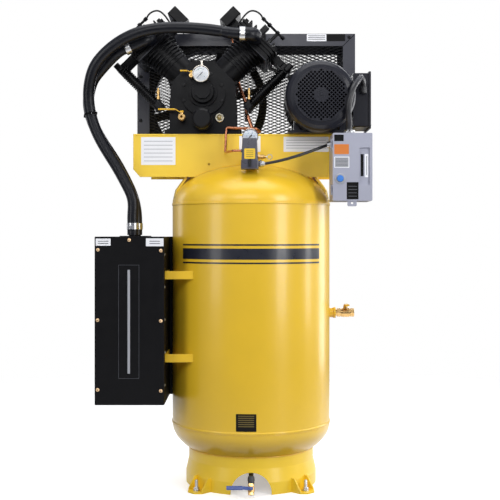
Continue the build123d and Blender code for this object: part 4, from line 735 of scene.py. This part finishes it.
def add_mitre_seams(half_width=0.0011):
    """Dark lines across the corners of both guard frames."""
    mesh = bmesh.new()
    for side_x, side_z, x, z in ((1, 1, GUARD_X0, GUARD_Z0), (1, -1, GUARD_X0, GUARD_Z1),
                                 (-1, 1, GUARD_X1, GUARD_Z0), (-1, -1, GUARD_X1, GUARD_Z1)):
        # (face, frame width, rise off the face along y)
        for y, width, rise in ((GUARD_FRONT_Y, 0.050, -0.00025), (GUARD_REAR_Y, 0.065, 0.00025)):
            along = Vector((side_x, 0, side_z)).normalized()
            across = Vector((-along.z, 0, along.x)) * half_width
            corner = Vector((x, y, z))
            start = corner + along * 0.002
            end = corner + Vector((side_x * width, 0, side_z * width)) - along * 0.0006
            quad = [start + across, end + across, end - across, start - across]
            lower = [mesh.verts.new(point) for point in quad]
            upper = [mesh.verts.new(point + Vector((0, rise, 0))) for point in quad]
            skin(mesh, [lower, upper])
    add_piece("guard_mitre_seams", mesh, "void_black")


add_mitre_seams()

# dark disc close behind the perforated fan cover: painted shade, so that the holes read black
add_turned("fan_cover_painted_shade", "void_black",
           [(0.0, 0.0), (0.0945, 0.0), (0.0945, 0.0003), (0.0930, 0.0005), (0.0, 0.0005)],
           [(FAN_X, -0.2326, FAN_Z)], 72, axis=BACK)


def add_guard_screws(inset=0.014, column_inset=0.025):
    left = GUARD_X0 + column_inset
    spots = [(x, z) for x in (left, left + 0.421, GUARD_X1 - column_inset)
             for z in (GUARD_Z0 + inset, GUARD_Z1 - inset)]
    spots += [(x, z) for z in (GUARD_Z0 + 0.19, GUARD_Z0 + 0.37)
              for x in (GUARD_X0 + inset, GUARD_X1 - inset)]
    washer = [(0.0068, -0.0002), (0.0068, 0.0008), (0.0062, 0.0012)]
    mesh = bmesh.new()
    for x, z in spots:
        lathe(mesh, washer, (x, GUARD_FRONT_Y, z), FRONT, 24)
        for y, axis in ((GUARD_FRONT_Y - 0.0011, FRONT), (GUARD_REAR_Y - 0.0001, BACK)):
            hexagon(mesh, (x, y, z), axis, across_flats=0.0100, height=0.0042)
    add_piece("guard_screws", mesh, "pump_black")


add_guard_screws()


# ------------------------------------------------------------------ gauges
DIAL_THICKNESS = 0.0006
PRINT_THICKNESS = 0.00012
GLASS_GAP = 0.0085         # from the back of the dial to the back of the window
SCALE_START, SCALE_SWEEP = 225, 270    # degrees; the scale runs clockwise seen from the front


def add_ticks(name, x, z, y, radius):
    """26 scale marks, every fifth one longer."""
    outlines = []
    for i in range(26):
        angle = math.radians(SCALE_START - SCALE_SWEEP * i / 25)
        long = i % 5 == 0
        outer, inner = radius * 0.92, radius * (0.76 if long else 0.84)
        out = Vector((math.cos(angle), math.sin(angle)))
        side = Vector((-out.y, out.x)) * (0.00034 if long else 0.00018)
        corners = (out * inner + side, out * inner - side, out * outer - side, out * outer + side)
        outlines.append([(x + corner[0], z + corner[1]) for corner in corners])
    add_prisms(name, "ink_film", outlines, (0, y, 0), PRINT_THICKNESS)


def add_arc(name, material, x, z, y, radius, start, end, steps=24):
    """Coloured band on the dial, from start to end degrees."""
    outlines = []
    inner, outer = radius * 0.66, radius * 0.73
    for i in range(steps):
        t0, t1 = (math.radians(start + (end - start) * k / steps) for k in (i, i + 1))
        outlines.append([(x + reach * math.cos(t), z + reach * math.sin(t))
                         for reach, t in ((inner, t0), (outer, t0), (outer, t1), (inner, t1))])
    add_prisms(name, material, outlines, (0, y, 0), PRINT_THICKNESS)


def add_figures(prefix, figures, x, z, y, radius):
    for k, text in enumerate(figures):
        angle = math.radians(SCALE_START - SCALE_SWEEP * k / (len(figures) - 1))
        curve = bpy.data.curves.new(prefix + "_figure_%02d" % k, "FONT")
        curve.body = text
        curve.size = radius * 0.21
        curve.align_x = "CENTER"
        curve.align_y = "CENTER"
        curve.extrude = 0.00005
        figure = bpy.data.objects.new(prefix + "_figure_%02d" % k, curve)
        SCENE.collection.objects.link(figure)
        figure.location = (x + radius * 0.54 * math.cos(angle), y,
                           z + radius * 0.54 * math.sin(angle))
        figure.rotation_euler = (math.radians(90), 0, 0)
        curve.materials.append(MATERIALS["ink_film"])
        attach(figure, "frame")


def window_profile(radius):
    """Flat back, short rim and slightly domed front."""
    profile = [(0.0, 0.0)]
    profile += [(radius * (0.15 + 0.84 * i / 6), 0.0) for i in range(7)]
    profile += [(radius * 0.995, 0.0003), (radius * 0.995, 0.0009)]
    for i in range(7):
        share = 0.12 + 0.86 * (1 - i / 6)
        profile.append((radius * share, 0.0011 + 0.0012 * math.cos(math.pi / 2 * share)))
    return profile + [(0.0, 0.0023)]


def add_gauge(prefix, x, z, y, radius, dial, arc, figures):
    """y is the back of the dial; arc is (material, start, end) in degrees."""
    face_y = y - DIAL_THICKNESS
    glass_y = y - GLASS_GAP
    edge = radius - 0.0002
    add_turned(prefix + "_dial", dial,
               [(0.0, 0.0), (edge, 0.0), (edge, 0.0004), (radius - 0.0008, DIAL_THICKNESS),
                (0.0, DIAL_THICKNESS)], [(x, y, z)], 64)
    add_ticks(prefix + "_ticks", x, z, face_y, radius)
    material, start, end = arc
    add_arc(prefix + "_arc", material, x, z, face_y, radius, start, end)
    add_figures(prefix, figures, x, z, face_y - 0.0001, radius)
    add_turned(prefix + "_window", "dial_glass", window_profile(radius), [(x, glass_y, z)], 64,
               sharp=60)
    # rolled bezel lip
    reach = radius + 0.0020
    turns = [2 * math.pi * i / 72 for i in range(72)]
    path = [(x + reach * math.cos(t), glass_y - 0.0016, z + reach * math.sin(t)) for t in turns]
    mesh = bmesh.new()
    tube(mesh, path, [0.0019] * len(path), 10, closed=True)
    add_piece(prefix + "_bezel_roll", mesh, "gauge_case")


add_gauge("oil_gauge", x=-0.187, z=1.552, y=-0.1712, radius=0.0278, dial="dial_white",
          arc=("green_film", 150, 60), figures=["0", "20", "40", "60", "80", "100"])
add_gauge("tank_gauge", x=-0.003, z=1.316, y=-0.1882, radius=0.0263, dial="dial_blue",
          arc=("red_film", -10, -38), figures=["0", "50", "100", "150", "200", "250"])


# ------------------------------------------------------------------ starter door
# (name, outlines, material, depth)
DOOR_FILMS = (
    ("dark_label", [rect(0.3035, 0.338, 1.2935, 1.3175)], "black_film", DOOR_Y),
    ("orange_label", [rect(0.3035, 0.357, 1.246, 1.2825)], "orange_film", DOOR_Y),
    ("grey_label", [rect(0.3035, 0.3585, 1.1965, 1.2370)], "white_film", DOOR_Y),
    ("grey_label_panel", [rect(0.3060, 0.3560, 1.1990, 1.2345, 0.001)], "silver_film",
     DOOR_Y - FILM),
    ("grey_lines", bars(0.309, 0.353, z=1.203, pitch=0.005, count=6, height=0.0018),
     "ink_film", DOOR_Y - 2 * FILM),
    ("low_label", [rect(0.349, 0.392, 1.081, 1.144)], "black_film", DOOR_Y),
    ("low_label_lines", bars(0.3550, 0.3860, z=1.092, pitch=0.012, count=4, height=0.0018),
     "ink_film", DOOR_Y - FILM),
    ("strip_dark", [rect(0.4005, 0.4115, 1.166, 1.247, 0.001)], "black_film", DOOR_RIGHT_Y),
    ("strip_pale", [rect(0.4160, 0.4285, 1.162, 1.247, 0.001)], "white_film", DOOR_RIGHT_Y),
    ("strip_pale_bar", [rect(0.4205, 0.4240, 1.170, 1.239, 0.0006)], "silver_film",
     DOOR_RIGHT_Y - FILM),
)
for name, outlines, material, y in DOOR_FILMS:
    add_flat_film("starter_" + name, outlines, material, y, "starter_door")


def add_button_ring(segments=72):
    # (radius, height off the door)
    profile = [(0.0128, 0.0000), (0.0192, 0.0000), (0.0192, 0.0020), (0.0180, 0.0034),
               (0.0150, 0.0040), (0.0134, 0.0036), (0.0128, 0.0026)]
    centre = Vector((0.325, DOOR_Y, 1.157))
    first, second, along = cross_axes(FRONT)
    mesh = bmesh.new()
    rings = []
    for i in range(segments):
        turn = 2 * math.pi * i / segments
        out = first * math.cos(turn) + second * math.sin(turn)
        rings.append([mesh.verts.new(centre + out * radius + along * height)
                      for radius, height in profile])
    skin(mesh, rings, closed=True)
    add_piece("starter_button_ring", mesh, "silver_film", "starter_door")


add_button_ring()


# ------------------------------------------------------------------ switch patch and glands
# the patch lies on a face that leans back as it rises
LEAN = math.tan(math.radians(2.2))
PATCH_X, PATCH_Z = -0.005, 1.247
PATCH_Y = -0.265 + 0.0015 + (PATCH_Z - 1.224) * LEAN
add_prisms("switch_patch", "yellow_film", [round_rect(0.040, 0.038, 0.004, 4, x=PATCH_X)],
           (0, PATCH_Y - 0.00005, PATCH_Z), 0.0004, up=(0, LEAN, 1))
add_prisms("switch_patch_lines", "olive_film",
           [round_rect(0.026, 0.0018, 0.0008, x=PATCH_X, z=z)
            for z in (-0.011, -0.004, 0.003, 0.010)],
           (0, PATCH_Y - 0.00045, PATCH_Z), 0.0002, up=(0, LEAN, 1))

mesh = bmesh.new()
hexagon(mesh, (0.0322, -0.235, 1.212), RIGHT, across_flats=0.024, height=0.0070)
lathe(mesh, [(0.0099, 0.0), (0.0103, 0.0004), (0.0103, 0.0092), (0.0094, 0.0102),
             (0.0066, 0.0106), (0.0064, 0.0126)], (0.0385, -0.235, 1.212), RIGHT, 36)
add_piece("switch_gland", mesh, "zinc")

HUB_Z, HUB_RING_HEIGHT = 1.3243, 0.0075
mesh = bmesh.new()
lathe(mesh, [(0.0212, 0.0), (0.0216, 0.0006), (0.0216, 0.0060), (0.0204, 0.0072),
             (0.0196, HUB_RING_HEIGHT)], (0.362, -0.216, HUB_Z), UP, 48)
hexagon(mesh, (0.362, -0.216, HUB_Z + HUB_RING_HEIGHT), UP, across_flats=0.036, height=0.0062)
add_piece("starter_hub_ring", mesh, "zinc")

mesh = bmesh.new()
lathe(mesh, [(0.0074, 0.0), (0.0116, 0.0012), (0.0116, 0.0086)], (0.2812, -0.180, 1.286),
      RIGHT, 36)
hexagon(mesh, (0.2895, -0.180, 1.286), RIGHT, across_flats=0.026, height=0.0080)
add_piece("starter_gland", mesh, "zinc")


# ------------------------------------------------------------------ strap round the two hoses
STRAP_Z = 1.4065


def add_hose_strap(radius=0.0229, steps=24, slope=0.16):
    """Band round two hose centres in plan; it rises by slope toward +X."""
    front_hose, rear_hose = Vector((-0.6020, -0.1450)), Vector((-0.6115, -0.0970))
    between = (rear_hose - front_hose).normalized()
    side = Vector((between.y, -between.x))
    middle = (front_hose + rear_hose) / 2
    # (distance outward, height)
    section = [(-0.0012, -0.0036), (0.0013, -0.0036), (0.0019, -0.0029), (0.0019, 0.0029),
               (0.0013, 0.0036), (-0.0012, 0.0036)]
    path = []
    for centre, sign in ((front_hose, 1), (rear_hose, -1)):
        for i in range(steps + 1):
            turn = math.pi * i / steps
            path.append(centre + (side * math.cos(turn) - between * math.sin(turn))
                        * sign * radius)
    mesh = bmesh.new()
    rings = []
    for i, point in enumerate(path):
        along = (path[(i + 1) % len(path)] - path[i - 1]).normalized()
        out = Vector((along.y, -along.x))
        if out.dot(point - middle) < 0:
            out = -out
        rings.append([mesh.verts.new((point.x + out.x * reach, point.y + out.y * reach,
                                      STRAP_Z + height + (point.x + 0.6) * slope))
                      for reach, height in section])
    skin(mesh, rings, closed=True)
    add_piece("hose_strap", mesh, "tie_nylon", sharp=30)


add_hose_strap()
add_prisms("hose_strap_head", "tie_nylon",
           [round_rect(0.0085, 0.0080, 0.0012, x=-0.600, z=STRAP_Z)],
           (0, -0.1675, 0), 0.0064, chamfer=0.0008, sharp=30)
# small pale patch on the strap head: a painted glint
add_prisms("hose_strap_painted_glint", "silver_film",
           [round_rect(0.0062, 0.0058, 0.0010, x=-0.5978, z=STRAP_Z - 0.001)],
           (0, -0.1700, 0), 0.0030, chamfer=0.0005, sharp=30)


# ------------------------------------------------------------------ apron and guard labels
add_flat_film("apron_spec_label", [rect(-0.4190, -0.2880, 1.218, 1.324)], "white_film", APRON_Y)
add_flat_film("apron_spec_lines",
              bars(-0.4080, -0.2990, z=1.232, pitch=0.0150, count=6, height=0.0022),
              "silver_film", APRON_Y - FILM)

# folded edge along the top of the apron
mesh = bmesh.new()
fold = [(-0.4475 + 0.895 * i / 40, -0.0872, 1.3316) for i in range(41)]
tube(mesh, fold, [0.0046] * len(fold), 20)
add_piece("apron_fold", mesh, "yellow_panel_painted_light")

add_flat_film("apron_mid_label", [rect(-0.045, 0.036, 1.268, 1.330)], "white_film", APRON_Y)
add_flat_film("apron_right_label", [rect(0.124, 0.296, 1.268, 1.325)], "white_film", APRON_Y)
add_flat_film("apron_right_lines",
              bars(0.134, 0.286, z=1.281, pitch=0.010, count=4, height=0.0022),
              "silver_film", APRON_Y - FILM)
add_flat_film("guard_white_label", [rect(0.229, 0.309, 1.7455, 1.7745)], "white_film",
              GUARD_FRONT_Y)
add_flat_film("guard_white_label_lines",
              bars(0.234, 0.304, z=1.7525, pitch=0.007, count=3, height=0.0024),
              "ink_film", GUARD_FRONT_Y - FILM)
add_flat_film("guard_dark_label", [rect(0.311, 0.386, 1.7455, 1.7745)], "black_film",
              GUARD_FRONT_Y)


# ------------------------------------------------------------------ silencer marks and screws
def border(x0, x1, z0, z1, width):
    """Four thin strips round a rectangle."""
    return [rect(x0, x0 + width, z0 + width, z1 - width, 0.0003),
            rect(x1 - width, x1, z0 + width, z1 - width, 0.0003),
            rect(x0, x1, z0, z0 + width, 0.0003),
            rect(x0, x1, z1 - width, z1, 0.0003)]


add_flat_film("silencer_panel_edge", border(-0.4830, -0.4080, 0.428, 0.842, width=0.0009),
              "ink_film", SILENCER_Y, lift=0.0002)
add_flat_film("silencer_stripe", [rect(-0.4500, -0.4410, 0.446, 0.824, 0.001)], "silver_film",
              SILENCER_Y)
add_flat_film("silencer_corner_labels",
              [rect(-0.566, -0.512, 0.912, 0.938), rect(-0.383, -0.319, 0.910, 0.939)],
              "white_film", SILENCER_Y)
add_flat_film("silencer_corner_lines",
              [bar for x in (-0.558, -0.370)
               for bar in bars(x, x + 0.038, z=0.919, pitch=0.008, count=2, height=0.0025)],
              "ink_film", SILENCER_Y - FILM)

# screw centres (x, z) on the silencer cover
SILENCER_SCREWS = ((-0.444, 0.9325), (-0.558, 0.897), (-0.329, 0.894), (-0.559, 0.641),
                   (-0.329, 0.638), (-0.559, 0.387), (-0.329, 0.383))
SOCKET_FLOOR = 0.0030
add_turned("silencer_screw_domes", "screw_tan",
           [(0.0066, 0.0), (0.0068, 0.0006), (0.0062, 0.0020), (0.0046, 0.0032),
            (0.0022, 0.0038), (0.0022, SOCKET_FLOOR), (0.0, SOCKET_FLOOR)],
           [(x, SILENCER_Y, z) for x, z in SILENCER_SCREWS], 32)
# dark hexagons at the socket floors: painted shade in the recesses
add_turned("silencer_screw_sockets", "socket_painted_shade", [(0.0018, 0.0), (0.0018, 0.0003), (0.0, 0.0004)],
           [(x, SILENCER_Y - SOCKET_FLOOR, z) for x, z in SILENCER_SCREWS], 6)
add_turned("terminal_lid_screws", "zinc",
           [(0.0046, 0.0), (0.0046, 0.0008), (0.0036, 0.0022), (0.0014, 0.0028), (0.0, 0.0028)],
           [(0.46005, y, z) for y in (-0.053, 0.103) for z in (1.373, 1.567)], 28,
           axis=RIGHT)

# pale edge of the rear flange, with its rivets
add_prisms("silencer_flange_edge", "silver_film",
           [[(-0.3168, 0.334), (-0.3058, 0.334), (-0.3058, 0.942), (-0.3168, 0.942)]],
           (0, -0.0002, 0), 0.0006)
add_turned("silencer_flange_rivets", "pump_black",
           [(0.0026, 0.0), (0.0026, 0.0004), (0.0018, 0.0011), (0.0, 0.0014)],
           [(-0.3110, -0.0008, 0.372 + i * 0.089) for i in range(7)], 16)

mesh = bmesh.new()
rivet = [(0.0050, 0.0), (0.0050, 0.0006), (0.0040, 0.0019), (0.0020, 0.0026), (0.0, 0.0028)]
for z in (0.40, 0.52, 0.64, 0.76, 0.88):
    for x, axis in ((-0.317, RIGHT), (-0.570, LEFT)):
        lathe(mesh, rivet, (x, -0.225, z), axis, 24)
add_piece("silencer_rivets", mesh, "aluminium")


# ------------------------------------------------------------------ sight glass window
low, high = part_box("sight_glass")
add_turned("sight_glass_window", "resin_clear",
           [(0.0, 0.0), (0.0090, 0.0), (0.0090, 0.0010), (0.0072, 0.0020), (0.0036, 0.0026),
            (0.0, 0.0028)],
           [((low.x + high.x) / 2, low.y + 0.0004, (low.z + high.z) / 2)], 40)


# ------------------------------------------------------------------ lights, floor, camera
# (name, place, target, (width, height), watts)
LIGHTS = (
    ("softbox_left", (-2.3, -2.0, 1.7), (0, 0, 0.95), (0.9, 2.4), 24),
    ("softbox_right", (2.1, -2.3, 1.6), (0, 0, 0.95), (0.8, 2.4), 46),
    ("softbox_side", (2.8, -0.2, 1.5), (0, 0, 1.0), (0.5, 2.2), 24),
    ("softbox_front", (-0.5, -3.6, 2.7), (0, 0, 1.0), (2.2, 1.4), 33),
    ("softbox_top", (0.0, -0.3, 3.6), (0, 0, 1.0), (2.4, 2.0), 36),
    ("softbox_back", (0.4, 2.8, 2.4), (0, 0, 1.2), (2.4, 1.6), 42),
    ("rim_right", (2.3, 1.3, 1.2), (0, 0, 0.9), (0.8, 2.2), 26),
    ("rim_left", (-2.3, 1.3, 1.2), (0, 0, 0.9), (0.6, 2.2), 8),
)
for name, place, target, size, watts in LIGHTS:
    light = bpy.data.lights.new(name, "AREA")
    light.shape = "RECTANGLE"
    light.size, light.size_y = size
    light.energy = watts
    lamp = bpy.data.objects.new(name, light)
    SCENE.collection.objects.link(lamp)
    lamp.location = place
    aim = Vector(target) - Vector(place)
    lamp.rotation_euler = aim.to_track_quat("-Z", "Y").to_euler()


def build_world():
    """White to the camera; to everything else a cool grey that brightens upward."""
    world = bpy.data.worlds.new("studio")
    SCENE.world = world
    world.use_nodes = True
    tree = world.node_tree
    tree.nodes.clear()
    add, link = tree.nodes.new, tree.links.new
    out = add("ShaderNodeOutputWorld")
    path = add("ShaderNodeLightPath")
    lighting = add("ShaderNodeBackground")
    backdrop = add("ShaderNodeBackground")
    mix = add("ShaderNodeMixShader")
    coords = add("ShaderNodeTexCoord")
    split = add("ShaderNodeSeparateXYZ")
    ramp = add("ShaderNodeMapRange")
    for key, value in (("From Min", -0.5), ("From Max", 0.6), ("To Min", 0.07), ("To Max", 0.42)):
        ramp.inputs[key].default_value = value
    tint = add("ShaderNodeCombineColor")
    link(coords.outputs["Generated"], split.inputs[0])
    link(split.outputs["Z"], ramp.inputs["Value"])
    for channel, gain in (("Red", 0.95), ("Green", 0.98), ("Blue", 1.14)):
        scaled = add("ShaderNodeMath")
        scaled.operation = "MULTIPLY"
        scaled.inputs[1].default_value = gain
        link(ramp.outputs[0], scaled.inputs[0])
        link(scaled.outputs[0], tint.inputs[channel])
    link(tint.outputs[0], lighting.inputs["Color"])
    lighting.inputs["Strength"].default_value = 1.0
    backdrop.inputs["Color"].default_value = (1.0, 1.0, 1.0, 1)
    backdrop.inputs["Strength"].default_value = 1.0
    link(path.outputs["Is Camera Ray"], mix.inputs[0])
    link(lighting.outputs[0], mix.inputs[1])
    link(backdrop.outputs[0], mix.inputs[2])
    link(mix.outputs[0], out.inputs[0])


def build_floor_material():
    """Near-white, fading to clear away from the centre."""
    shader = NodeMaterial("floor_white")
    bsdf = shader.bsdf
    clouds = shader.ramp(shader.noise(scale=1.6, detail=4.0), low=0.3, high=0.7)
    tint = shader.mix(clouds, srgb(240, 240, 240), srgb(246, 246, 246))
    shader.link(tint, bsdf.inputs["Base Color"])
    bsdf.inputs["Roughness"].default_value = 0.55
    shader.link(tint, bsdf.inputs["Emission Color"])
    bsdf.inputs["Emission Strength"].default_value = 0.45
    grain = shader.bump(shader.noise(scale=160.0), strength=0.05, distance=0.0004)
    shader.link(grain, bsdf.inputs["Normal"])
    clear = shader.add("ShaderNodeBsdfTransparent")
    mix = shader.add("ShaderNodeMixShader")
    reach = shader.add("ShaderNodeVectorMath", operation="LENGTH")
    shader.link(shader.coords, reach.inputs[0])
    shader.link(shader.ramp(reach.outputs["Value"], low=0.7, high=3.2), mix.inputs[0])
    shader.link(bsdf.outputs[0], mix.inputs[1])
    shader.link(clear.outputs[0], mix.inputs[2])
    shader.link(mix.outputs[0], shader.out.inputs[0])
    return shader.material


def add_floor():
    mesh = bmesh.new()
    bmesh.ops.create_circle(mesh, cap_ends=True, radius=6.0, segments=96)
    data = bpy.data.meshes.new("floor")
    mesh.to_mesh(data)
    mesh.free()
    floor = bpy.data.objects.new("floor", data)
    SCENE.collection.objects.link(floor)
    data.materials.append(build_floor_material())
    floor.visible_diffuse = False


def add_camera():
    """Level view from the front."""
    lens = bpy.data.cameras.new("camera")
    camera = bpy.data.objects.new("camera", lens)
    SCENE.collection.objects.link(camera)
    camera.location = (-0.004, -3.9, 0.951)
    camera.rotation_euler = (math.radians(90), 0, 0)
    lens.lens = 72
    lens.sensor_width = 36
    lens.shift_y = -0.03
    lens.clip_start = 0.05
    lens.clip_end = 60
    SCENE.camera = camera


build_world()
add_floor()
SCENE.view_settings.view_transform = "Standard"
SCENE.view_settings.look = "None"
add_camera()
